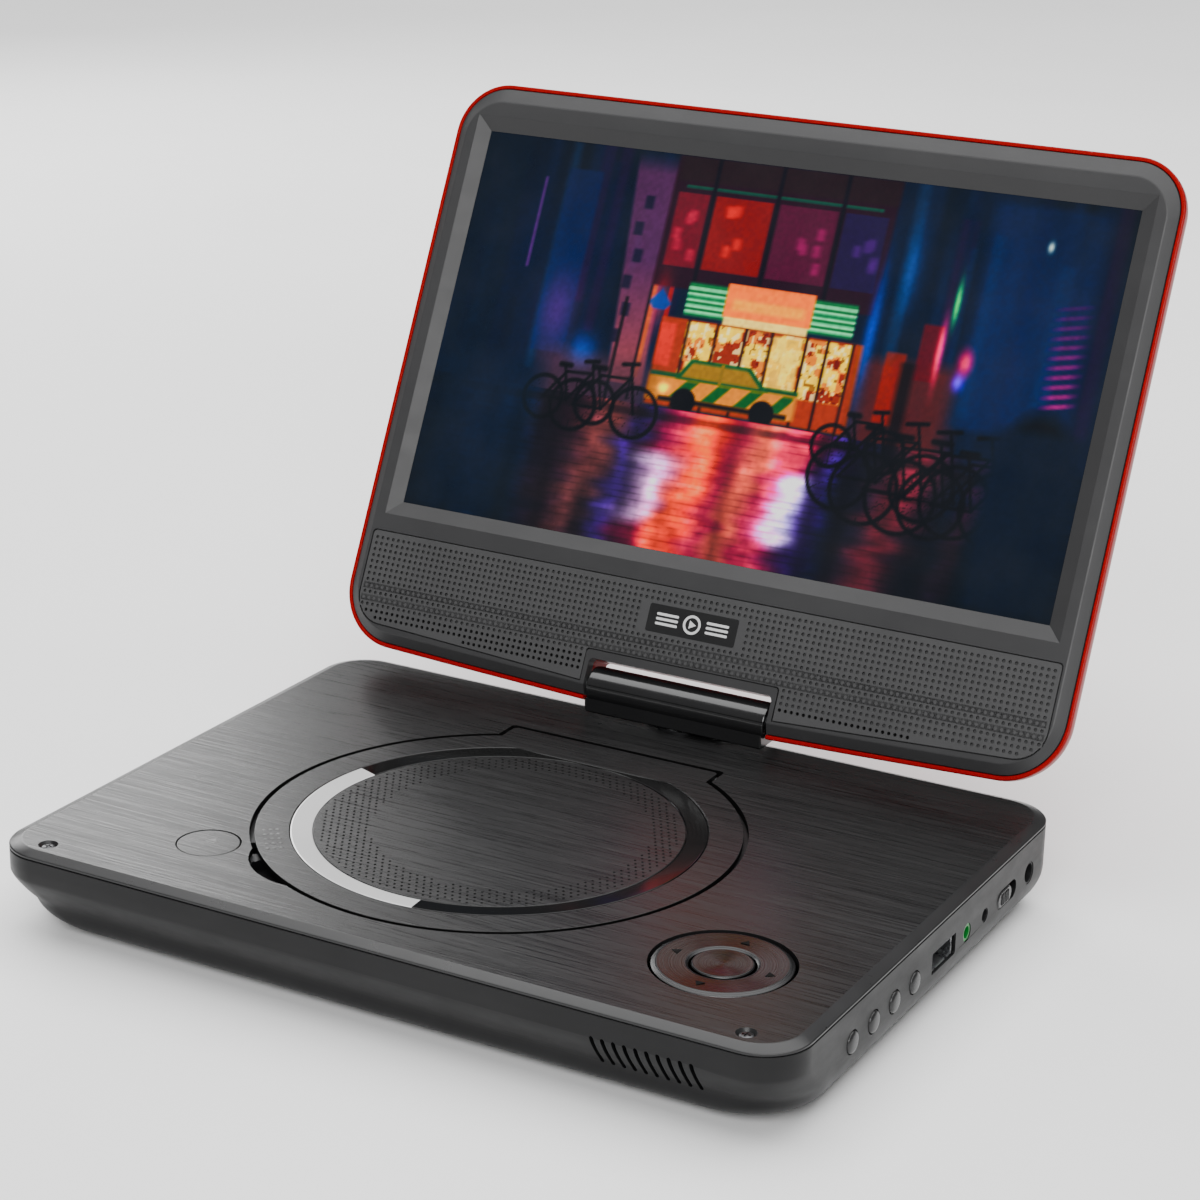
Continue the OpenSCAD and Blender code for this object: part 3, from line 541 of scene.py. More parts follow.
# Pale gloss plastic for a painted reflection: the bright arc on the left of the gloss ring
M_PAINTED_REFLECTION = plastic("ring painted reflection", grey(0.5), grey(0.56), (0.12, 0.2), 300.0, 0.02, 0.5, 0.6, 0.05)
M_HINGE = plastic(
    "hinge gloss", grey(0.008, 0.0085), grey(0.012, 0.0125), (0.16, 0.24), 700.0, 0.04, 0.5, 0.5, 0.06
)
M_BUTTON = plastic("button plastic", grey(0.012, 0.0125), grey(0.018, 0.0185), (0.22, 0.32), 900.0, 0.08, 0.4)
M_STEEL = metal("steel", (0.42, 0.43, 0.44), (0.6, 0.61, 0.62))
M_BLACK_STEEL = metal("blackened screw", grey(0.05, 0.052), grey(0.1, 0.105), (0.25, 0.4))
M_BRASS = metal("brass", (0.5, 0.34, 0.12), (0.66, 0.48, 0.2))
M_RUBBER = plastic("rubber", grey(0.008), grey(0.016), (0.7, 0.9), 500.0, 0.5, 0.3)
M_BOARD = board("circuit board")
M_CELL = plastic("cell film", (0.01, 0.05, 0.2), (0.02, 0.08, 0.28), (0.15, 0.3), 200.0, 0.1)
M_GREEN = plastic("green ring", (0.0, 0.12, 0.012), (0.0, 0.17, 0.02), (0.3, 0.4), 900.0, 0.1)
M_MARK = plastic("pale mark", grey(0.5), grey(0.62), (0.4, 0.5), 900.0, 0.05)
M_GREY_MARK = plastic("grey mark", grey(0.1), grey(0.16), (0.4, 0.5), 900.0, 0.05)
M_LENS = plastic("coated lens", (0.02, 0.05, 0.12), (0.04, 0.09, 0.2), (0.03, 0.06), 100.0, 0.01, 0.8)
M_NAV = spun("spun nav ring", NAV, grey(0.014, 0.0145), grey(0.07, 0.071), 1.0, (0.18, 0.3))
M_PIC = picture_material("display picture")

# ---- Base shell ----

RING_SEG = 14


def side_in(d):
    """How far the side walls curve under at depth d."""
    if d < SIDE_START:
        return 0.0
    return SIDE_R - math.sqrt(max(0.0, SIDE_R**2 - (d - SIDE_START) ** 2))


def front_in(d):
    """How far the front slopes and curves under at depth d."""
    bottom = CASE_H - FRONT_R
    if d < FRONT_START:
        return 0.0
    if d < bottom:
        return (FRONT_IN - FRONT_R) * ((d - FRONT_START) / (bottom - FRONT_START)) ** 1.25
    return FRONT_IN - math.sqrt(max(0.0, FRONT_R**2 - (d - bottom) ** 2))


def base_ring(d, inset=0.0, z=None, min_r=2.0):
    """The base's outline at depth d, pulled in by inset."""
    side = side_in(d) + inset
    fore = front_in(d) + inset
    fr = max(min_r, BASE_R + 0.6 * front_in(d) - 0.7 * inset)
    br = max(min_r, BASE_R - 0.7 * inset)
    x = RIGHT - side
    y0 = FRONT + fore
    y1 = BACK - side
    pts = (
        arc(x - fr, y0 + fr, fr, -90, 0, RING_SEG)
        + arc(x - br, y1 - br, br, 0, 90, RING_SEG)
        + arc(-x + br, y1 - br, br, 90, 180, RING_SEG)
        + arc(-x + fr, y0 + fr, fr, 180, 270, RING_SEG)
    )
    level = -d if z is None else z
    return [(px, py, level) for px, py in pts]


def tongue(name, r, z0, z1, edge=0.0):
    """The round tongue behind the base, which carries the swivel."""
    profile = [(0, z0), (r, z0), (r, z1 - edge), (r - edge, z1), (0, z1)]
    return revolve(name, profile, at_base(0, SWIVEL_Y, 0), 64)


def rod(name, r, z0, z1, place, seg=48):
    """A plain round cutter along Z."""
    return revolve(name, [(0, z0), (r, z0), (r, z1), (0, z1)], place, seg)


depths = [2.15, 2.4] + [2.4 + (FRONT_START - 2.4) * k / 2 for k in (1, 2)]
depths += [FRONT_START + (SIDE_START - FRONT_START) * k / 5 for k in range(1, 6)]
depths += [SIDE_START + (CASE_H - SIDE_START) * math.sin(math.pi / 2 * k / 14) for k in range(1, 15)]
outer = [base_ring(depths[0], 0.28)] + [base_ring(d) for d in depths[1:]]
inner = [base_ring(d, WALL + 0.6, z=-min(d, CASE_H - WALL)) for d in reversed(depths[1:-2])]
inner.append(base_ring(2.1, WALL + 0.6, z=-2.15))
case_shell = loft("case_shell", list(reversed(outer)) + list(reversed(inner)), at_base())
carve(case_shell, [tongue("case_tongue", TONGUE_R, -13.6, -2.15)], "UNION")


def wall_cutter(y, r):
    """Cuts a round hole through the right wall."""
    return rod("wall_cutter", r, -8.0, 3.0, at_right(y), 32)


def stadium(long, high, n=12):
    """A slot outline, long in Y."""
    half = (long - high) / 2
    return arc(0, half, high / 2, 0, 180, n) + arc(0, -half, high / 2, 180, 360, n)


cutters = [wall_cutter(DC_Y, 3.4), wall_cutter(AV_Y, 2.1), wall_cutter(PHONES_Y, 2.7)]
cutters += [wall_cutter(KEY_Y - i * KEY_PITCH, KEY_R + 0.3) for i in range(4)]
cutters.append(prism("switch_cutter", stadium(14.3, 5.6), -8.0, 3.0, at_right(SWITCH_Y)))
cutters.append(prism("usb_cutter", rect(-3.3, 2.9, -8, 8, 0.5, 4), -8.0, 3.0, at_right(USB_Y)))
for i in range(VENT_SLOTS):
    slot_at = moved(turned(at_base(VENT_X + i * VENT_PITCH, FRONT), 90, "X"), y=-VENT_DROP)
    cutters.append(prism("vent_cutter", stadium(10.2, 1.2, 6), -14.0, 3.0, slot_at))
for x in (-62, 0, 88):
    for y in (-58, 72):
        cutters.append(rod("screw_cutter", 3.0, -CASE_H - 1, -CASE_H + 1.4, at_base(x, y), 32))
door = rect(-12, 12, -70, 70, 1.0, 4)
cutters.append(prism("door_cutter", door, -CASE_H - 1, -CASE_H + 1.7, at_base(BATTERY_X)))
carve(case_shell, cutters)
soften(case_shell, 0.25, 2, 40)
piece(case_shell, "base", M_CASE, ["bottom_case"])


cover = loft(
    "top_panel",
    [
        base_ring(0, 0.25, -2.05),
        base_ring(0, 0.0, -1.8),
        base_ring(0, 0.0, -1.35),
        base_ring(0, 0.3, -1.0),
        base_ring(0, RIM_W - 0.5, -0.12),
        base_ring(0, RIM_W, -0.0),
    ],
    at_base(),
)
carve(cover, [tongue("cover_tongue", TONGUE_R, -2.05, -0.1, 0.4)], "UNION")


def bay_outline(gap, corner=1.5, seg=200):
    """Circle with a square tab at the back, about the disc centre, gap inside the bay's own edge."""
    r = BAY_R - gap
    hw = TAB_HALF + BAY_GAP - gap
    top = TAB_BACK + BAY_GAP - gap
    a = math.degrees(math.acos(hw / r))
    pts = arc(0, 0, r, 180 - a, 360 + a, seg)
    pts += arc(hw - corner, top - corner, corner, 0, 90, 6)
    pts += arc(-hw + corner, top - corner, corner, 90, 180, 6)
    return pts


DOTS_R = 64.3
DOTS_ANGLE = 219.6
FINGER_AT = 51.8
FINGER_R = 22.1
FINGER_ANGLE = math.radians(-124.8)
finger = (FINGER_AT * math.cos(FINGER_ANGLE), FINGER_AT * math.sin(FINGER_ANGLE))
cutters = [
    prism("bay_cutter", bay_outline(0), -6, 3, AT_DISC),
    rod("finger_cutter", FINGER_R, -6, 3, moved(AT_DISC, *finger), 64),
    rod("nav_cutter", NAV_R, -6, 3, at_base(*NAV), 128),
    rod("open_cutter", OPEN_R + 0.3, -6, 3, at_base(*OPEN), 96),
    rod("dimple_cutter", 0.7, -0.5, 1, at_base(-22.3, 77.1), 16),
]
seat = [(0, -1.2), (2.1, -1.2), (2.9, 0.2), (2.9, 2), (0, 2)]
for s in (-1, 1):
    cutters.append(revolve("seat_cutter", seat, at_base(s * COVER_SCREW[0], COVER_SCREW[1]), 48))
carve(cover, cutters)
soften(cover, 0.28, 2, 40)
piece(cover, "base", M_COVER, ["top_cover"])
cover.data.materials.append(M_RIM)
rim_level = (TOP_Z - 0.06) * MM
# Painted shade: the cover's walls of the gap round the disc lid and of the finger notch take the near-black
# material
cover.data.materials.append(M_BLACK_AND_SHADE)
disc_at = AT_DISC.translation * MM
for f in cover.data.polygons:
    if f.normal.z < 0.995 or f.center.z < rim_level:
        near = math.hypot(f.center.x - disc_at.x, f.center.y - disc_at.y) < GAP_ZONE * MM
        f.material_index = 2 if near and f.normal.z < 0.5 else 1

# ---- Disc lid ----


def lid_loop(gap, z):
    """The disc lid's outline, gap inside its CAD outline."""
    return [(x, y, z) for x, y in bay_outline(BAY_GAP + gap)]


def circle_like(outline, r, z):
    """Points on a circle facing each point of an outline."""
    out = []
    for x, y in outline:
        a = math.atan2(y, x)
        out.append((r * math.cos(a), r * math.sin(a), z))
    return out


plan = bay_outline(BAY_GAP)
lid = loft(
    "disc_lid",
    [
        circle_like(plan, 30, -2.0),
        lid_loop(0.9, -2.0),
        lid_loop(0.7, -1.6),
        lid_loop(0.65, -0.2),
        lid_loop(0.7, -0.05),
        lid_loop(0.82, 0.0),
        circle_like(plan, RING_RO + 0.25, 0.0),
        circle_like(plan, RING_RO, -0.2),
        circle_like(plan, RING_RO, -0.9),
    ],
    AT_DISC,
)
rib_section = [(56.2, -1.9), (56.2, -3.2), (57.6, -3.2), (57.6, -1.9), (56.2, -1.9)]
rib = revolve("lid_rib", rib_section, AT_DISC, 128)
latch_at = turned(AT_DISC, LATCH_ANGLE)
hook_up = box("hook_up", 63.6, 65.6, -3, 3, -7.9, -1.9, latch_at)
hook_lip = box("hook_lip", 63.6, 67.2, -3, 3, -7.9, -6.7, latch_at)
lid = merge("disc_lid", [lid, rib, hook_up, hook_lip])
dots = []
for i in range(3):
    for j in range(5):
        spot = moved(turned(AT_DISC, DOTS_ANGLE), DOTS_R + (i - 1) * 1.9, (j - 2) * 3.2)
        dots.append(revolve("dot", [(0.6, -0.05), (0.55, 0.1), (0.35, 0.2), (0, 0.24)], spot, 16))
dots = merge("lid_dots", dots)
piece(lid, "disc_lid", M_COVER, ["disc_lid_panel"])
# Painted shade: the lid's steep side faces, which border the gap, take the near-black material
lid.data.materials.append(M_BLACK_AND_SHADE)
for f in lid.data.polygons:
    if f.normal.z < 0.5:
        f.material_index = 1
piece(dots, "disc_lid", M_GREY_MARK, angle=60)

plate = revolve(
    "lid_plate",
    [(0, -0.9), (RING_RI - 0.15, -0.9), (RING_RI - 0.15, -0.55), (RING_RI - 0.35, -0.4), (0, -0.4)],
    AT_DISC, 160,
)
piece(plate, "disc_lid", M_COVER, ["disc_lid_plate"])
pins = []
step = 2.3
for i in range(-24, 25):
    for j in range(-28, 29):
        x = i * step + (step / 2 if j % 2 else 0)
        y = j * step * 0.866
        r = math.hypot(x, y)
        lean_left = 7.0 * max(0.0, math.cos(math.atan2(y, x) - math.radians(215)))
        if 43.5 - lean_left < r < 51.3:
            pins.append((x, y))
verts, faces = [], []
for x, y in pins:
    n0 = len(verts)
    for r, z in ((0.42, -0.42), (0.3, -0.27), (0.12, -0.2)):
        verts += [(x + r * math.cos(k * math.pi / 4), y + r * math.sin(k * math.pi / 4), z) for k in range(8)]
    for level in (0, 1):
        for k in range(8):
            a = n0 + level * 8 + k
            b = n0 + level * 8 + (k + 1) % 8
            faces.append((a, b, b + 8, a + 8))
    faces.append(tuple(n0 + 16 + k for k in range(8)))
bumps = make("plate_bumps", verts, faces, AT_DISC)
piece(bumps, "disc_lid", M_BLACK_AND_SHADE, angle=60)

# Painted reflection: upward faces of the gloss ring within this arc, on its left, take a pale material
# standing for a light's reflection
REFLECTION_ARC = (165.7, 276.6)
gloss = revolve(
    "gloss_ring",
    [(RING_RI, -0.9), (RING_RO - 0.15, -0.9), (RING_RO - 0.15, -0.12), (RING_RO - 0.3, -0.03),
     (RING_RO - 0.6, 0.0), (RING_RI + 0.5, -0.32), (RING_RI + 0.15, -0.4), (RING_RI, -0.5), (RING_RI, -0.9)],
    AT_DISC, 192,
)
piece(gloss, "disc_lid", M_RING, ["disc_lid_ring"])
gloss.data.materials.append(M_PAINTED_REFLECTION)
for f in gloss.data.polygons:
    a = math.degrees(math.atan2(f.center.y - disc_at.y, f.center.x - disc_at.x)) % 360
    if REFLECTION_ARC[0] < a < REFLECTION_ARC[1] and f.normal.z > 0.5:
        f.material_index = 1

# ---- Open button, navigation pad, screws ----

button = revolve(
    "open_button_cap",
    [(0, -3.28), (OPEN_R + 0.9, -3.28), (OPEN_R + 0.9, -2.6), (OPEN_R, -2.6), (OPEN_R, -0.3),
     (OPEN_R - 0.15, -0.12), (OPEN_R - 0.35, -0.06), (0, -0.06)],
    at_base(*OPEN), 96,
)
stem = rod("open_button_stem", 1.6, -14.0, -3.3, at_base(*OPEN))
button = merge("open_button_cap", [button, stem])
piece(button, "open_button", M_COVER, ["open_button"])
mark = [(-1.5, 1.6), (1.5, 1.6), (0, 3.6)]
bar = [(-1.5, 0.5), (1.5, 0.5), (1.5, 1.0), (-1.5, 1.0)]
marks = merge("open_mark", [prism("mark", shape, -0.12, -0.02, at_base(*OPEN)) for shape in (mark, bar)])
piece(marks, "open_button", M_GREY_MARK)

NAV_RO = NAV_R - 0.7
ring = revolve(
    "nav_pad_ring",
    [(NAV_MID_R, -3.2), (NAV_RO, -3.2), (NAV_RO, -0.75), (NAV_RO - 0.25, -0.35), (NAV_RO - 1.3, 0.15),
     (NAV_RO - 1.9, 0.2), (NAV_MID_R + 4.5, -0.05), (NAV_MID_R + 1.2, 0.0), (NAV_MID_R + 0.5, -0.1),
     (NAV_MID_R, -0.5), (NAV_MID_R, -3.2)],
    at_base(*NAV), 160,
)
piece(ring, "nav_ring", M_NAV, ["nav_ring"])
marks = []
for a in (0, 90, 180, 270):
    m = moved(turned(at_base(*NAV), a), NAV_MARK_R)
    marks.append(prism("nav_mark", [(-1.1, -1.3), (1.2, 0), (-1.1, 1.3)], -0.05, 0.17, m, 0.05))
piece(merge("nav_marks", marks), "nav_ring", M_BLACK_AND_SHADE)
centre = revolve(
    "nav_centre_cap",
    [(0, -6.3), (2.2, -6.3), (2.2, -3.8), (NAV_MID_R - 0.6, -3.8), (NAV_MID_R - 0.6, -0.35),
     (NAV_MID_R - 0.85, -0.02), (NAV_MID_R - 1.2, 0.1), (5.2, -0.12), (0, -0.25)],
    at_base(*NAV), 96,
)
piece(centre, "nav_centre", M_NAV, ["nav_centre_button"])

screws = []
for s in (-1, 1):
    m = at_base(s * COVER_SCREW[0], COVER_SCREW[1])
    head = revolve("head", [(0, -1.2), (1.9, -1.2), (1.9, -0.7), (1.5, -0.5), (0, -0.45)], m, 32)
    cuts = [box("slot", -1.2, 1.2, -0.27, 0.27, -0.8, 1, m), box("slot", -0.27, 0.27, -1.2, 1.2, -0.8, 1, m)]
    carve(head, cuts)
    screws += [head, rod("shank", 1.0, -5, -1.1, m, 24)]
piece(merge("cover_screw_heads", screws), "base", M_BLACK_STEEL, ["cover_screws"])

# ---- Right side ----

for i in range(4):
    cap = revolve(
        "side_key_%d" % (i + 1),
        [(0, -5.4), (2, -5.4), (2, -3.4), (KEY_R + 1, -3.4), (KEY_R + 1, -2.6), (KEY_R, -2.6), (KEY_R, -0.1),
         (KEY_R - 0.15, 0.25), (KEY_R - 0.5, 0.55), (KEY_R - 1.1, 0.78), (KEY_R - 2, 0.9), (0, 0.95)],
        at_right(KEY_Y - i * KEY_PITCH), 48,
    )
    piece(cap, "side_button_%d" % (i + 1), M_BUTTON, ["side_button_%d" % (i + 1)])

knob_at = at_right(SWITCH_Y - 1.9)
knob = prism("switch_knob", stadium(10.2, 5.0, 16), -2.6, 0.3, knob_at, 0.35)
ridges = []
for i in range(-2, 3):
    ridge = rect(-1.7, 1.7, i * 1.1 - 0.2, i * 1.1 + 0.2, 0.15, 3)
    ridges.append(prism("ridge", ridge, 0.2, 0.62, knob_at, 0.12))
foot = box("knob_foot", -1.4, 1.4, -1.5, 1.5, -6.2, -2.5, knob_at)
knob = merge("switch_knob", [knob, foot] + ridges)
piece(knob, "power_knob", M_BUTTON, ["power_switch_knob"])

# ---- Hinge ----

SPLIT = 2.0


def hinge_profile(r, skirt_in):
    """Section across the hinge, as (y, z) about the tilt axis: the barrel above, its skirt below."""
    low = 0.9 - HINGE_UP + skirt_in
    w = 7.0 - skirt_in
    pts = arc(0, 0, r, -42, 222, 40)
    pts += [(-w, -1.8 - skirt_in), (-w, low + 0.6), (-w + 0.6, low)]
    return pts + [(w - 0.6, low), (w, low + 0.6), (w, -1.8 - skirt_in)]


def hinge_ring(x, r, skirt_in):
    """The hinge section at x."""
    return [(x, y, z) for y, z in hinge_profile(r, skirt_in)]


hinge_at = at_base(0, SWIVEL_Y, HINGE_UP)
b = BLOCK_HALF
hinge = loft(
    "hinge_cover",
    [
        hinge_ring(-b, BARREL_R - 0.5, 0.5),
        hinge_ring(-b + 0.15, BARREL_R - 0.15, 0.15),
        hinge_ring(-b + 0.5, BARREL_R, 0),
        hinge_ring(b - 0.5, BARREL_R, 0),
        hinge_ring(b - 0.15, BARREL_R - 0.15, 0.15),
        hinge_ring(b, BARREL_R - 0.5, 0.5),
    ],
    hinge_at,
)
groove = []
for s in (-1, 1):
    y = s * 5.4
    groove.append(box("seam", -b - 1, b + 1, y - 0.6, y + 0.6, SPLIT - 0.08, SPLIT + 0.12, hinge_at))
groove.append(rod("shaft_bore", 3.05, -b - 1, b + 1, turned(hinge_at, 90, "Y"), 48))
carve(hinge, groove)
piece(hinge, "swivel", M_HINGE, ["hinge_block", "hinge_cap"], angle=28)

# ---- Screen unit ----

LID_SEG = 18


def lid_ring(inset, z, top_extra=0.0):
    """The screen unit's outline, pulled in by inset, its lower edge slightly bowed."""
    r_top = max(2.0, 17.0 - inset)
    r_low = max(2.0, 20.0 - inset)
    x = LID_W / 2 - inset
    y1 = LID_HIGH - inset - top_extra
    side_low = LID_LOW + LID_BOW + inset
    pts = []
    flat = x - r_low
    for k in range(25):
        px = -flat + 2 * flat * k / 24
        pts.append((px, side_low - LID_BOW * (1 - (abs(px) / flat) ** 1.3)))
    pts += arc(x - r_low, side_low + r_low, r_low, -90, 0, LID_SEG)[1:]
    pts += arc(x - r_top, y1 - r_top, r_top, 0, 90, LID_SEG)
    pts += arc(-x + r_top, y1 - r_top, r_top, 90, 180, LID_SEG)
    pts += arc(-x + r_low, side_low + r_low, r_low, 180, 270, LID_SEG)[:-1]
    return [(px, py, z) for px, py in pts]


def window(name, levels):
    """A cutter over the picture: (grow, z) pairs, each a rectangle grown round the picture."""
    rings = []
    for grow, z in levels:
        x, y0, y1 = PIC_W / 2 + grow, PIC_LOW - grow, PIC_LOW + PIC_H + grow
        rings.append([(-x, y0, z), (x, y0, z), (x, y1, z), (-x, y1, z)])
    return loft(name, rings, AT_SCREEN)


def notch_outline(half_w, high, r=1.6):
    """The hinge notch, open downwards."""
    top = arc(half_w - r, high - r, r, 0, 90, 6) + arc(-half_w + r, high - r, r, 90, 180, 6)
    return top + [(-half_w, -30), (half_w, -30)]


R_BACK = 9.1
rings = []
for k in range(13):
    t = math.radians(90 * k / 12)
    rings.append(lid_ring(R_BACK * (1 - math.sin(t)), LID_BACK + R_BACK * (1 - math.cos(t))))
lip = [(0.0, 3.6), (0.0, RIM_Z - 0.5), (0.15, RIM_Z - 0.12), (0.5, RIM_Z), (1.2, RIM_Z - 0.05)]
lip += [(1.38, RIM_Z - 0.4), (1.4, 2.4)]
rings += [lid_ring(inset, z) for inset, z in lip]
rear = loft("rear_shell", rings, AT_SCREEN)
ALONG_AXIS = turned(AT_SCREEN, 90, "Y")
cutters = [prism("notch_cutter", notch_outline(NOTCH_HALF, NOTCH_HIGH), -30, 30, AT_SCREEN)]
cutters.append(rod("shaft_cutter", 3.2, -45, 45, ALONG_AXIS, 48))
for x in (-96, 96):
    for y in (22, 172):
        spot = moved(AT_SCREEN, x, y)
        cutters.append(rod("rear_screw_cutter", 2.9, LID_BACK - 1, LID_BACK + 0.9, spot, 32))
carve(rear, cutters)
soften(rear, 0.3, 2, 45)
piece(rear, "screen", M_RED, ["rear_cover"])

bezel = loft(
    "bezel_frame",
    [
        lid_ring(BEZEL_INSET + 0.1, 2.45),
        lid_ring(BEZEL_INSET + 0.1, PIC_Z - 0.3),
        lid_ring(BEZEL_INSET + 0.25, PIC_Z + 0.05),
        lid_ring(BEZEL_INSET + 3.0, LID_FRONT - 0.2, 1.6),
        lid_ring(BEZEL_INSET + 3.6, LID_FRONT, 1.9),
    ],
    AT_SCREEN,
)

GR_HALF = 118.6
GR_TOP = 34.3
GR_LOW = 0.35
GR_END = 4.2
GR_R = 10.0
GR_NOTCH = 33.2
GR_NOTCH_HIGH = 10.6


def grille_outline(grow):
    """The grille panel's outline: sloping lower edges, a notch for the hinge, round lower corners."""
    gx = GR_HALF + grow
    y1 = GR_TOP + grow
    nx = GR_NOTCH - grow
    ny = GR_NOTCH_HIGH - grow
    low = arc(gx - GR_R, GR_END - grow + GR_R, GR_R, -84, 0, 10)
    side = [(nx, GR_LOW - grow)] + low + arc(gx - 1.2, y1 - 1.2, 1.2, 0, 90, 5)
    notch = arc(nx - 1.0, ny - 1.0, 1.0, 90, 0, 5)
    left = [(-x, y) for x, y in reversed(side)]
    return side + left + [(-x, y) for x, y in reversed(notch)] + notch


cutters = [
    prism("bezel_notch", notch_outline(NOTCH_HALF, NOTCH_HIGH), -30, 30, AT_SCREEN),
    prism("grille_cutter", grille_outline(0.2), 5.1, 12, AT_SCREEN),
    rod("bezel_shaft", 3.2, -45, 45, ALONG_AXIS, 48),
    window(
        "window_cutter",
        [(0, 2.0), (0, PIC_Z), (4.6, LID_FRONT - 0.12), (4.95, LID_FRONT + 0.06), (5, 9)],
    ),
]
carve(bezel, cutters)
soften(bezel, 0.2, 2, 30)
piece(bezel, "screen", M_BEZEL, ["front_bezel"], angle=24)

# ---- Speaker grille: a plate with real holes ----

HOLE_PITCH = 1.994
ROW_PITCH = 1.985
HOLE_TOP = 31.9
HOLE_ROWS = 15
HOLE_R = 0.56
HOLE_COLUMNS = 58
FULL_ROWS = 11
NOTCH_COLUMN = 17
BADGE_ROWS = (2, 6)
BADGE_COLUMN = 8


def low_edge(x):
    """Height of the grille panel's lower edge at x."""
    end = GR_HALF - GR_R
    if abs(x) < end:
        return GR_LOW + (GR_END - GR_LOW) * (abs(x) - GR_NOTCH) / (end - GR_NOTCH)
    return GR_END + GR_R - math.sqrt(max(0.0, GR_R**2 - (abs(x) - end) ** 2))


def hole_rows():
    """Each row as (lower edge, upper edge, column spans). Column i is centred on (i + 0.5) pitches."""
    rows = []
    for k in range(HOLE_ROWS):
        y = HOLE_TOP - k * ROW_PITCH
        last = HOLE_COLUMNS
        while y - low_edge((last + 0.5) * HOLE_PITCH) < 1.5:
            last -= 1
        y0, y1 = y - ROW_PITCH / 2, y + ROW_PITCH / 2
        first = 0
        if k >= FULL_ROWS:
            first = NOTCH_COLUMN
        elif BADGE_ROWS[0] <= k <= BADGE_ROWS[1]:
            first = BADGE_COLUMN + 1
        if first:
            rows.append((y0, y1, [(-last - 1, -first - 1), (first, last)]))
        else:
            rows.append((y0, y1, [(-last - 1, last)]))
    return rows


def hole_cells(rows, z):
    """A square of panel round each hole, with the hole's wall."""
    verts, faces = [], []
    n = 12
    angles = [2 * math.pi * k / n + math.radians(45) for k in range(n)]
    for y0, y1, spans in rows:
        y = (y0 + y1) / 2
        for a, b in spans:
            for i in range(a, b + 1):
                x = (i + 0.5) * HOLE_PITCH
                n0 = len(verts)
                hx, hy = HOLE_PITCH / 2, ROW_PITCH / 2
                corners = ((1, 1), (-1, 1), (-1, -1), (1, -1))
                verts += [(x + sx * hx, y + sy * hy, z) for sx, sy in corners]
                for level in (0.0, -0.9):
                    verts += [(x + HOLE_R * math.cos(t), y + HOLE_R * math.sin(t), z + level) for t in angles]
                for q in range(4):
                    k = [n0 + 4 + (3 * q + m) % n for m in range(4)]
                    faces.append((n0 + q, n0 + (q + 1) % 4, k[3], k[2], k[1], k[0]))
                for k in range(n):
                    j = (k + 1) % n
                    faces.append((n0 + 4 + k, n0 + 4 + j, n0 + 4 + n + j, n0 + 4 + n + k))
    return verts, faces


rows = hole_rows()
panel_z = LID_FRONT - 0.04
holes = make("grille_holes", *hole_cells(rows, panel_z), AT_SCREEN)
cutters = []
for y0, y1, spans in rows:
    for a, b in spans:
        cutters.append(box("row_cutter", a * HOLE_PITCH, (b + 1) * HOLE_PITCH, y0, y1, 5.4, 9, AT_SCREEN))
border = prism("grille_border", grille_outline(-0.15), 5.3, panel_z, AT_SCREEN, 0.12)
carve(border, cutters)
piece(merge("grille_panel", [holes, border]), "screen", M_GRILLE, angle=20)
# The backing replaces the CAD grille; its near-black colour is painted shade seen through the grille holes
backing = prism("grille_back", grille_outline(-0.3), 5.2, LID_FRONT - 0.95, AT_SCREEN)
piece(backing, "screen", M_BLACK_AND_SHADE, ["speaker_grille"])

# ---- Badge: a plain plate with a play mark in a ring ----

badge_at = moved(AT_SCREEN, 0.2, 24)
badge = prism("badge", rect(-15.4, 15.4, -4.5, 4.5, 0.8, 5), 5.9, LID_FRONT - 0.01, badge_at, 0.12)
piece(badge, "screen", M_BADGE, ["badge_plate"])
mark_z = LID_FRONT
mark_low = mark_z - 0.2
ring_section = [(2.2, mark_low), (3.0, mark_low), (3.0, mark_z), (2.2, mark_z), (2.2, mark_low)]
ring_mark = revolve("badge_ring", ring_section, badge_at, 48)
play = prism("badge_play", [(-0.9, -1.3), (1.4, 0), (-0.9, 1.3)], mark_low, mark_z, badge_at)
bars = []
for x in (-8.6, 8.6):
    for y in (-1.5, 0, 1.5):
        stroke = rect(x - 3.8, x + 3.8, y - 0.4, y + 0.4, 0.35, 4)
        bars.append(prism("badge_bar", stroke, mark_low, mark_z, badge_at))
piece(merge("badge_mark", [ring_mark, play] + bars), "screen", M_MARK)

# ---- Display picture: a rainy street at night, painted on the mesh ----

COLS = 440
ROWS = 248
# The view transform pales the picture, so its colours are made stronger
SATURATION = 1.35


def smooth_noise(shape, cells, seed):
    """Soft random field between 0 and 1."""
    r = np.random.default_rng(seed)
    grid = r.random((cells[0] + 2, cells[1] + 2))
    y = np.linspace(0, cells[0], shape[0])
    x = np.linspace(0, cells[1], shape[1])
    yi, xi = y.astype(int), x.astype(int)
    fy, fx = (y - yi)[:, None], (x - xi)[None, :]
    fy, fx = fy * fy * (3 - 2 * fy), fx * fx * (3 - 2 * fx)
    a, b = grid[yi][:, xi], grid[yi][:, xi + 1]
    c, d = grid[yi + 1][:, xi], grid[yi + 1][:, xi + 1]
    return (a * (1 - fx) + b * fx) * (1 - fy) + (c * (1 - fx) + d * fx) * fy


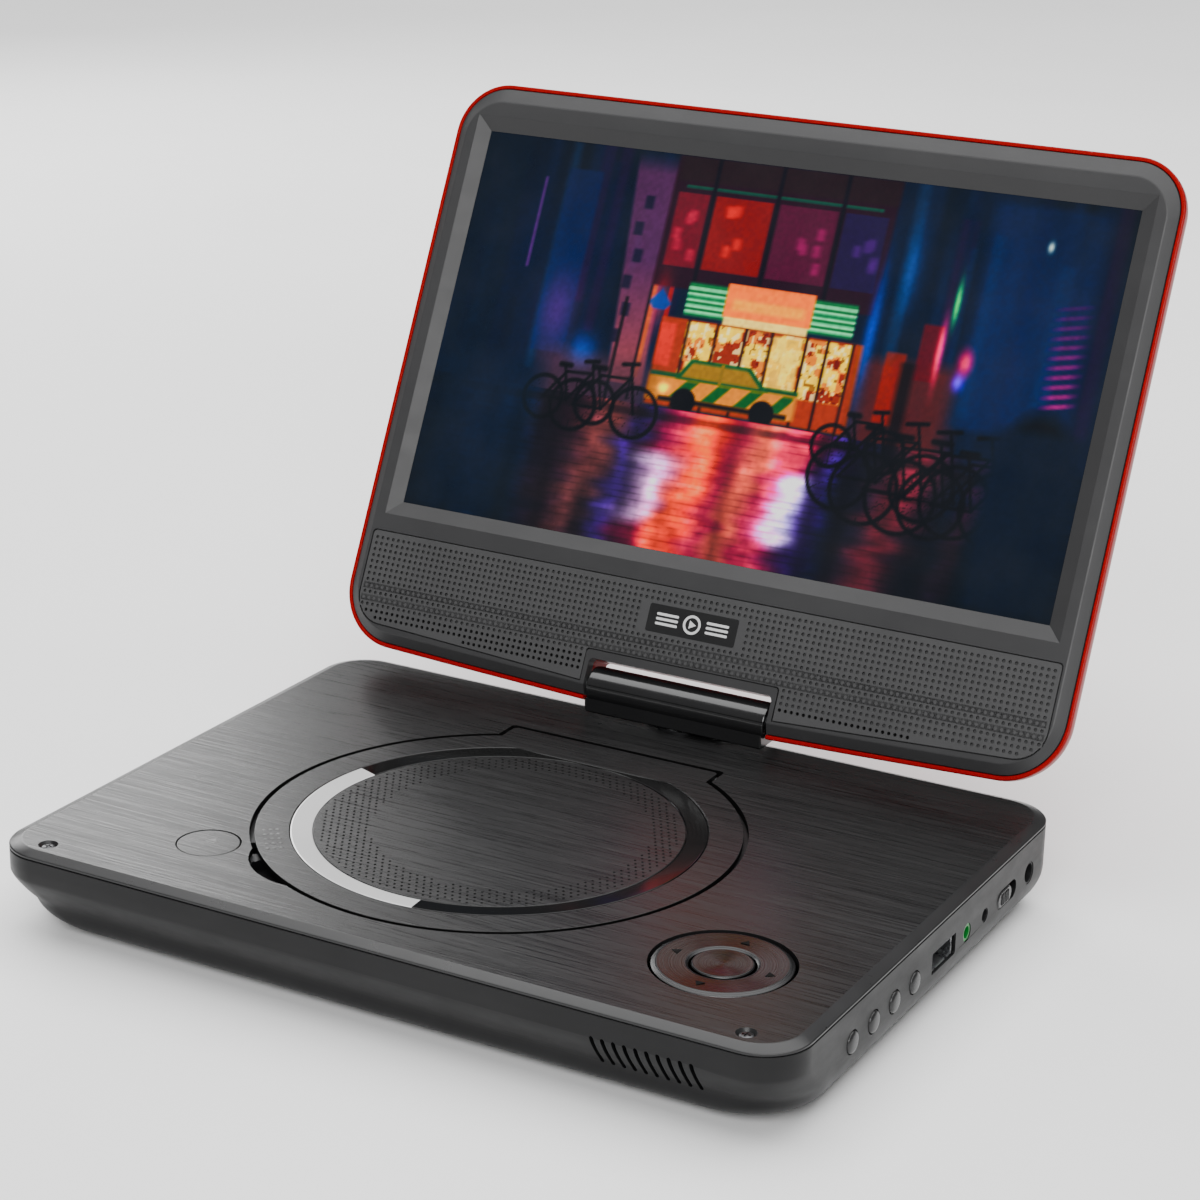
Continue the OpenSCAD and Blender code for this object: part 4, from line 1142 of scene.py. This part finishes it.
def paint_picture():
    """Colours, in display values, on a ROWS by COLS grid, lower row first."""
    v, u = np.mgrid[0:1:ROWS * 1j, 0:1:COLS * 1j]
    img = np.zeros((ROWS, COLS, 3))

    def soft(x, edge=0.004):
        """0 below x = 0 and 1 above it, blurred over edge."""
        return np.clip(0.5 + x / edge, 0, 1)

    def patch(u0, u1, v0, v1, edge=0.004):
        """Mask of a rectangle."""
        return soft(u - u0, edge) * soft(u1 - u, edge) * soft(v - v0, edge) * soft(v1 - v, edge)

    def put(mask, colour, amount=1.0):
        """Paints a colour over what is there."""
        m = (mask * amount)[..., None]
        img[:] = img * (1 - m) + np.array(colour) * m

    def slab(u0, u1, v0, v1, colour, amount=1.0, edge=0.004):
        """Paints a rectangle."""
        put(patch(u0, u1, v0, v1, edge), colour, amount)

    def glow(cu, cv, ru, rv, colour, amount=1.0):
        """Adds a soft oval of light."""
        g = np.exp(-(((u - cu) / ru) ** 2 + ((v - cv) / rv) ** 2)) * amount
        img[:] += g[..., None] * np.array(colour)

    img[:] = (0.0, 0.075, 0.15)
    street = 0.34
    # buildings: dark blue walls at both sides with upright ribs and lit edges
    wall = smooth_noise((ROWS, COLS), (4, 60), 3)
    slab(0, 0.36, street, 1.1, (0.015, 0.05, 0.12), 0.9)
    slab(0.62, 1.0, street, 1.1, (0.02, 0.06, 0.13), 0.9)
    img[:] *= (0.65 + 0.7 * wall)[..., None]
    for k in range(26):
        x = 0.02 + 0.34 * rng.random() if k % 2 else 0.64 + 0.36 * rng.random()
        tall = 0.3 + 0.5 * rng.random()
        base = street + 0.05 + 0.2 * rng.random()
        hue = [(0.0, 0.12, 0.24), (0.10, 0.04, 0.16), (0.0, 0.16, 0.28), (0.0, 0.05, 0.14)][rng.integers(4)]
        put(patch(x, x + 0.006 + 0.02 * rng.random(), base, base + tall, 0.01), hue, 0.6)
    slab(0.0, 0.075, 0.2, 1.0, (0.01, 0.06, 0.12), 0.8, 0.01)
    slab(0.108, 0.112, 0.66, 0.90, (0.42, 0.22, 0.50), 0.8)
    # pale side wall that catches the light, with dark windows and a warm foot
    wash = soft(u - 0.255 + 0.05 * (v - 0.9), 0.006) * soft(0.325 + 0.02 * (0.9 - v) - u, 0.006)
    wash = wash * soft(v - 0.40) * soft(0.97 - v, 0.05)
    put(wash, (0.30, 0.16, 0.28), 0.85)
    put(wash * np.clip((0.72 - v) * 3.0, 0, 1), (0.66, 0.34, 0.30), 0.7)
    for k in range(6):
        x, y = 0.268 + 0.008 * (k % 2), 0.50 + 0.07 * k
        slab(x, x + 0.014, y, y + 0.035, (0.05, 0.05, 0.12), 0.85, 0.005)
    slab(0.318, 0.326, 0.42, 0.95, (0.85, 0.42, 0.24), 0.55)
    slab(0.345, 0.352, 0.55, 0.98, (0.70, 0.20, 0.16), 0.6, 0.003)
    slab(0.145, 0.20, 0.45, 0.93, (0.04, 0.10, 0.24), 0.8, 0.006)
    for x, y, w in ((0.395, 0.86, 0.05), (0.49, 0.93, 0.04), (0.55, 0.80, 0.05), (0.60, 0.90, 0.03)):
        glow(x, y, w, 0.05, (0.12, 0.01, 0.03))
    # upper panels over the shop: red and violet boards without any lettering
    slab(0.315, 0.66, 0.66, 1.0, (0.10, 0.02, 0.07), 1.0, 0.006)
    boards = (
        (0.325, 0.375, (0.34, 0.03, 0.13)),
        (0.385, 0.475, (0.42, 0.03, 0.08)),
        (0.485, 0.575, (0.25, 0.04, 0.15)),
        (0.585, 0.65, (0.10, 0.06, 0.18)),
    )
    for a, b, c in boards:
        slab(a, b, 0.715, 0.905, c)
        lit = (c[0] * 1.7 + 0.08, c[1] * 1.6 + 0.04, c[2] * 1.7 + 0.06)
        for k in range(5):
            x = a + (b - a) * rng.random() * 0.8
            y = 0.73 + 0.13 * rng.random()
            slab(x, x + 0.012, y, y + 0.03, lit, 0.7, 0.008)
    slab(0.335, 0.64, 0.918, 0.925, (0.05, 0.30, 0.22), 0.8)
    slab(0.32, 0.66, 0.935, 1.0, (0.10, 0.05, 0.06), 0.9, 0.01)
    for x in (0.38, 0.48, 0.58):
        slab(x - 0.003, x + 0.003, 0.68, 1.0, (0.02, 0.01, 0.04))
    # awning: orange sign board between green striped ones, blank
    slab(0.375, 0.635, 0.595, 0.68, (0.0, 0.36, 0.20))
    for k in range(5):
        slab(0.375, 0.635, 0.603 + k * 0.015, 0.609 + k * 0.015, (0.62, 0.95, 0.72), 0.85, 0.003)
    slab(0.435, 0.57, 0.605, 0.69, (0.98, 0.50, 0.12))
    slab(0.438, 0.567, 0.583, 0.606, (0.99, 0.86, 0.55))
    slab(0.447, 0.558, 0.625, 0.652, (1.0, 0.70, 0.25), 0.7, 0.01)
    # lit shop front with shelves, a doorway and posts
    slab(0.345, 0.655, street + 0.02, 0.585, (0.55, 0.22, 0.06), 1.0, 0.006)
    cells = smooth_noise((ROWS, COLS), (34, 90), 11)
    band = patch(0.385, 0.64, 0.43, 0.58, 0.004)
    put(band, (0.86, 0.52, 0.16), 0.9)
    put(band * (cells > 0.5), (1.0, 0.86, 0.46), 0.9)
    put(band * (cells < 0.33), (0.42, 0.12, 0.04), 0.8)
    goods = smooth_noise((ROWS, COLS), (90, 200), 12)
    put(band * (goods > 0.72), (1.0, 0.95, 0.75), 0.7)
    put(band * (goods < 0.2), (0.25, 0.06, 0.02), 0.6)
    slab(0.52, 0.565, 0.37, 0.575, (1.0, 0.86, 0.5), 0.75)
    for x in (0.385, 0.43, 0.475, 0.515, 0.568, 0.60, 0.638):
        slab(x, x + 0.005, street, 0.585, (0.13, 0.04, 0.02), 0.95, 0.003)
    slab(0.345, 0.37, 0.46, 0.57, (0.90, 0.30, 0.10), 0.6, 0.006)
    # a taxi in front of the shop
    slab(0.345, 0.575, 0.372, 0.442, (0.80, 0.50, 0.12), 1.0, 0.008)
    for k in range(4):
        stripe = u - 0.375 - 0.05 * k - (v - 0.372) * 0.5
        put(soft(stripe) * soft(0.02 - stripe) * patch(0.35, 0.57, 0.385, 0.43), (0.0, 0.26, 0.12), 0.95)
    slab(0.345, 0.575, 0.434, 0.446, (0.0, 0.24, 0.12))
    slab(0.365, 0.565, 0.372, 0.385, (0.05, 0.03, 0.03))
    rake = v - 0.433
    cabin = soft(rake) * soft(0.487 - v) * soft(u - 0.385 - rake * 0.35) * soft(0.53 - rake * 0.6 - u)
    put(cabin, (0.0, 0.26, 0.13), 1)
    glass = soft(v - 0.44) * soft(0.478 - v) * soft(u - 0.392 - rake * 0.35) * soft(0.52 - rake * 0.6 - u)
    put(glass, (0.62, 0.42, 0.18), 0.85)
    slab(0.452, 0.457, 0.433, 0.485, (0.46, 0.36, 0.06), 1.0, 0.003)
    for x in (0.405, 0.527):
        put(soft(0.019 - np.hypot((u - x), (v - 0.378) * 0.56), 0.003), (0.01, 0.01, 0.015), 1)
    glow(0.37, 0.405, 0.008, 0.012, (0.9, 0.75, 0.4))
    # bicycles and street furniture as dark shapes
    dark = (0.004, 0.006, 0.012)
    flat = 0.561  # height over width of the picture

    def wheel(cx, cy, r):
        """A tyre and twelve faint spokes."""
        d = np.hypot(u - cx, (v - cy) * flat)
        put(np.clip(1.6 - np.abs(d - r) / 0.0028, 0, 1), dark, 0.95)
        ang = np.arctan2((v - cy) * flat, u - cx)
        put((np.abs(np.sin(ang * 6)) < 0.10) * (d < r), dark, 0.55)

    def bar(x0, y0, x1, y1, w):
        """A dark tube from end to end."""
        dx, dy = x1 - x0, (y1 - y0) * flat
        px, py = u - x0, (v - y0) * flat
        t = np.clip((px * dx + py * dy) / (dx * dx + dy * dy), 0, 1)
        d = np.hypot(px - t * dx, py - t * dy)
        put(np.clip(1.5 - d / w, 0, 1), dark, 0.95)

    tubes = (
        (0, 0, 0.036, 0.085, 0.0022), (0.036, 0.085, 0.082, 0.088, 0.0022),
        (0.045, 0, 0.082, 0.088, 0.0022), (0.045, 0, 0.030, 0.10, 0.0022),
        (0.098, 0, 0.080, 0.12, 0.0022), (0.066, 0.122, 0.09, 0.128, 0.003),
        (0.022, 0.104, 0.040, 0.104, 0.004), (0, 0, 0.045, 0, 0.0022),
    )

    def bicycle(x, y, s):
        """Two wheels, a frame, a handlebar and a saddle, s times the plain size."""
        wheel(x, y, 0.036 * s)
        wheel(x + 0.098 * s, y + 0.004, 0.036 * s)
        for x0, y0, x1, y1, w in tubes:
            bar(x + x0 * s, y + y0 * s, x + x1 * s, y + y1 * s, w)

    slab(0.17, 0.35, 0.32, 0.46, (0.26, 0.16, 0.20), 0.7, 0.05)
    slab(0.66, 0.80, 0.34, 0.56, (0.30, 0.11, 0.10), 0.8, 0.04)
    # neon at the right and in the gaps
    glow(0.66, 0.62, 0.008, 0.14, (0.05, 0.20, 0.45))
    glow(0.70, 0.78, 0.012, 0.10, (0.03, 0.12, 0.22))
    slab(0.735, 0.765, 0.52, 0.66, (0.30, 0.06, 0.10), 0.9)
    slab(0.69, 0.72, 0.40, 0.58, (0.65, 0.20, 0.12), 0.55, 0.005)
    slab(0.80, 0.965, 0.42, 0.98, (0.0, 0.13, 0.30), 0.55, 0.02)
    for k in range(11):
        lift = v - 0.50 - 0.024 * k - 0.35 * (u - 0.935)
        tube = soft(lift, 0.006) * soft(0.011 - lift, 0.006) * patch(0.925 - 0.001 * k, 0.962, 0.4, 0.9, 0.02)
        put(tube, (0.75, 0.05, 0.50), 0.75 - 0.05 * k)
    glow(0.775, 0.72, 0.004, 0.05, (0.10, 0.75, 0.30))
    glow(0.765, 0.60, 0.005, 0.07, (0.90, 0.30, 0.45))
    glow(0.805, 0.58, 0.010, 0.03, (0.90, 0.10, 0.25))
    glow(0.80, 0.53, 0.008, 0.02, (0.35, 0.20, 0.85))
    glow(0.888, 0.885, 0.004, 0.012, (0.9, 0.9, 0.75))
    glow(0.175, 0.56, 0.03, 0.10, (0.30, 0.10, 0.22), 0.6)
    glow(0.23, 0.47, 0.02, 0.04, (0.20, 0.35, 0.75), 0.5)
    glow(0.335, 0.62, 0.012, 0.07, (0.45, 0.14, 0.10), 0.7)
    lamp = soft(0.018 - np.abs(u - 0.335) - 0.5 * np.abs(v - 0.617), 0.005) * soft(v - 0.60)
    put(lamp, (0.05, 0.25, 0.55), 0.8)
    # wet street: the lit colours drawn down as long streaks
    wet = v < street + 0.015
    depth = np.clip((street - v) / street, 0, 1)
    columns = smooth_noise((ROWS, COLS), (3, 46), 21)
    fine = smooth_noise((ROWS, COLS), (70, 46), 22)
    ripple = smooth_noise((ROWS, COLS), (36, 20), 23)
    spread = u + 0.03 * (ripple - 0.5) + 0.05 * depth
    ground = np.zeros_like(img)
    ground[:] = (0.012, 0.04, 0.09)

    def streak(cu, w, colour, amount, fade):
        """Light drawn down the wet street, fainter towards the viewer."""
        m = np.exp(-(((spread - cu) / w) ** 2)) * amount * (1 - fade * depth)
        ground[:] += m[..., None] * np.array(colour)

    streak(0.47, 0.035, (1.0, 0.48, 0.16), 1.0, 0.25)
    streak(0.55, 0.025, (0.98, 0.62, 0.34), 0.9, 0.2)
    streak(0.51, 0.10, (0.75, 0.10, 0.30), 0.75, 0.1)
    streak(0.60, 0.028, (0.95, 0.16, 0.30), 0.65, 0.3)
    streak(0.41, 0.03, (0.75, 0.18, 0.30), 0.6, 0.45)
    streak(0.36, 0.02, (0.36, 0.22, 0.75), 0.5, 0.5)
    streak(0.66, 0.02, (0.30, 0.08, 0.60), 0.55, 0.5)
    streak(0.25, 0.05, (0.50, 0.16, 0.20), 0.35, 0.8)
    streak(0.88, 0.02, (0.50, 0.10, 0.14), 0.35, 0.6)
    streak(0.12, 0.05, (0.03, 0.10, 0.20), 0.8, 0.3)
    streak(0.30, 0.035, (0.55, 0.26, 0.16), 0.6, 0.3)
    streak(0.77, 0.04, (0.70, 0.22, 0.20), 0.6, 0.1)
    for x, w in ((0.405, 0.026), (0.625, 0.024)):
        sheen = np.exp(-(((spread - x) / w) ** 2)) * soft(0.24 - v, 0.03) * soft(v - 0.06, 0.03)
        ground[:] += sheen[..., None] * np.array((0.85, 0.95, 1.1)) * (0.6 + 0.6 * ripple)[..., None]
    ground *= (0.35 + 1.05 * columns * (0.55 + 0.75 * fine))[..., None]
    ground *= (1.0 - 0.55 * np.clip(np.abs(u - 0.5) * 1.9 - 0.2, 0, 1) * depth)[..., None]
    joints = 0.72 + 0.28 * np.clip(np.abs(np.sin((v + 0.01 * ripple) * 190)) * 2.2, 0, 1)
    ground *= joints[..., None]
    img[wet] = ground[wet]
    kerb = 0.335 - 0.12 * np.clip(u - 0.62, 0, 1)
    put(soft(v - kerb + 0.012, 0.01) * soft(kerb + 0.006 - v, 0.01), (0.03, 0.02, 0.03), 0.6)
    bicycle(0.185, 0.335, 0.85)
    bicycle(0.235, 0.325, 1.0)
    right_side = (
        (0.66, 0.26, 1.25), (0.70, 0.24, 1.35), (0.755, 0.235, 1.4), (0.80, 0.23, 1.3), (0.64, 0.33, 0.8)
    )
    for spot in right_side:
        bicycle(*spot)
    put(soft(0.05 - np.hypot(u - 0.93, (v - 0.36) * 0.4), 0.02), (0.004, 0.006, 0.015), 0.95)
    slab(0.865, 1.0, 0.0, 0.44, (0.0, 0.055, 0.12), 0.92, 0.03)
    slab(0.0, 0.16, 0.0, 0.42, (0.0, 0.07, 0.14), 0.8, 0.06)
    slab(0.715, 0.735, 0.30, 0.56, (0.006, 0.008, 0.018), 0.8, 0.01)
    slab(0.28, 0.285, 0.34, 0.62, (0.01, 0.015, 0.03), 0.9, 0.003)
    slab(0.315, 0.319, 0.36, 0.66, (0.01, 0.015, 0.03), 0.9, 0.003)
    grain = 0.92 + 0.16 * smooth_noise((ROWS, COLS), (124, 220), 31)
    img[:] *= grain[..., None]
    vignette = np.clip(1.15 - 0.55 * ((u - 0.5) ** 2 * 2.2 + (v - 0.5) ** 2 * 1.6), 0, 1)
    img[:] *= vignette[..., None]
    return np.clip(img, 0, 1)


def picture_mesh():
    """The picture's plane, one vertex to a painted point."""
    ys, xs = np.mgrid[0:ROWS, 0:COLS]
    px = (xs / (COLS - 1) - 0.5) * (PIC_W - 0.1)
    py = PIC_LOW + 0.05 + ys / (ROWS - 1) * (PIC_H - 0.1)
    pts = np.stack([px.ravel(), py.ravel(), np.full(px.size, PIC_Z - 0.02), np.ones(px.size)], axis=1)
    world = (np.array(AT_SCREEN) @ pts.T).T[:, :3] * MM
    i = (ys[:-1, :-1] * COLS + xs[:-1, :-1]).ravel()
    faces = np.stack([i, i + 1, i + COLS + 1, i + COLS], axis=1)
    mesh = bpy.data.meshes.new("display_picture")
    mesh.from_pydata(world.tolist(), [], faces.tolist())
    colours = mesh.color_attributes.new("picture", "FLOAT_COLOR", "POINT")
    shown = paint_picture().reshape(-1, 3)
    linear = np.where(shown <= 0.04045, shown / 12.92, ((shown + 0.055) / 1.055) ** 2.4)
    mean = linear.mean(axis=1, keepdims=True)
    linear = np.clip(mean + (linear - mean) * SATURATION, 0, None)
    colours.data.foreach_set("color", np.concatenate([linear, np.ones((len(linear), 1))], axis=1).ravel())
    obj = bpy.data.objects.new("display_picture", mesh)
    bpy.context.scene.collection.objects.link(obj)
    return obj


piece(picture_mesh(), "screen", M_PIC)

# ---- Finishes of the CAD nodes that stay ----

finishes = {
    M_INNER: ["disc_tray", "dc_jack", "av_jack", "power_switch", "side_key_switches", "swivel_washer",
              "door_latch", "nav_rocker_frame", "spindle_hub", "pickup_sled", "speakers"],
    M_STEEL: ["loader_chassis", "spindle_motor", "guide_rods", "sled_motor", "usb_socket",
              "swivel_bracket", "open_button_spring", "disc_lid_pins", "hub_balls", "swivel_post",
              "post_clip", "hinge_brackets", "tilt_shafts", "bracket_screws"],
    M_BLACK_STEEL: ["battery_door_screw", "case_screws", "lid_screws"],
    M_RUBBER: ["rubber_feet", "chassis_dampers"],
    M_BOARD: ["main_board", "key_board", "screen_board"],
    M_CELL: ["battery_pack"],
    M_CASE: ["battery_door"],
    M_GREEN: ["headphone_jack"],
    M_LENS: ["pickup_lens"],
    M_BRASS: ["lead_screw"],
    M_BLACK_AND_SHADE: ["lcd_panel"],
}
for material, names in finishes.items():
    for name in names:
        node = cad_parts[name]
        for k in range(max(1, len(node.material_slots))):
            if k < len(node.material_slots):
                node.material_slots[k].material = material
            else:
                node.data.materials.append(material)

# ---- Floor, light and camera ----

FLOOR = 9000
corners = [(sx * FLOOR, sy * FLOOR, -0.05) for sx, sy in ((-1, -1), (1, -1), (1, 1), (-1, 1))]
floor = make("floor", corners, [(0, 1, 2, 3)])
g = Graph("floor")
speck = g.noise(3.0, 4.0)
g.feed("Base Color", g.ramp(speck, [(0.3, (0.86, 0.86, 0.86)), (0.7, (0.9, 0.9, 0.9))]))
g.feed("Roughness", g.span(speck, 0.6, 0.75))
g.set(Specular_IOR_Level=0.1)
floor.data.materials.append(g.mat)

world = bpy.data.worlds.new("studio")
bpy.context.scene.world = world
world.use_nodes = True
world.node_tree.nodes["Background"].inputs["Color"].default_value = (1, 1, 1, 1)
world.node_tree.nodes["Background"].inputs["Strength"].default_value = 0.2


def area(name, place, target, size, power):
    """A soft box at place, metres, facing target."""
    data = bpy.data.lights.new(name, "AREA")
    data.shape = "RECTANGLE"
    data.size = size[0]
    data.size_y = size[1]
    data.energy = power
    light = bpy.data.objects.new(name, data)
    bpy.context.scene.collection.objects.link(light)
    light.location = place
    light.rotation_euler = (Vector(target) - Vector(place)).to_track_quat("-Z", "Y").to_euler()
    return light


area("overhead", (0.0, 0.6, 2.4), (0, 0.6, 0), (3.6, 3.6), 150)
area("back_left", (-1.12, 0.80, 0.62), (-0.08, -0.06, 0.02), (0.7, 0.5), 8)
area("front", (0.9, -2.0, 1.5), (0, 0.2, 0.05), (1.8, 1.2), 60)

CAM = (0.3927, -0.7198, 0.3693)
AZ, EL, ROLL = math.radians(28.80), math.radians(19.22), math.radians(1.13)
back = Vector((math.sin(AZ) * math.cos(EL), -math.cos(AZ) * math.cos(EL), math.sin(EL)))
right = Vector((math.cos(AZ), math.sin(AZ), 0))
up = back.cross(right)
x_axis = math.cos(ROLL) * right + math.sin(ROLL) * up
y_axis = -math.sin(ROLL) * right + math.cos(ROLL) * up
camera = bpy.data.objects.new("camera", bpy.data.cameras.new("camera"))
bpy.context.scene.collection.objects.link(camera)
camera.data.sensor_width = 36.0
camera.data.lens = 90.04
camera.matrix_world = Matrix.Translation(CAM) @ Matrix((x_axis, y_axis, back)).transposed().to_4x4()
bpy.context.scene.camera = camera
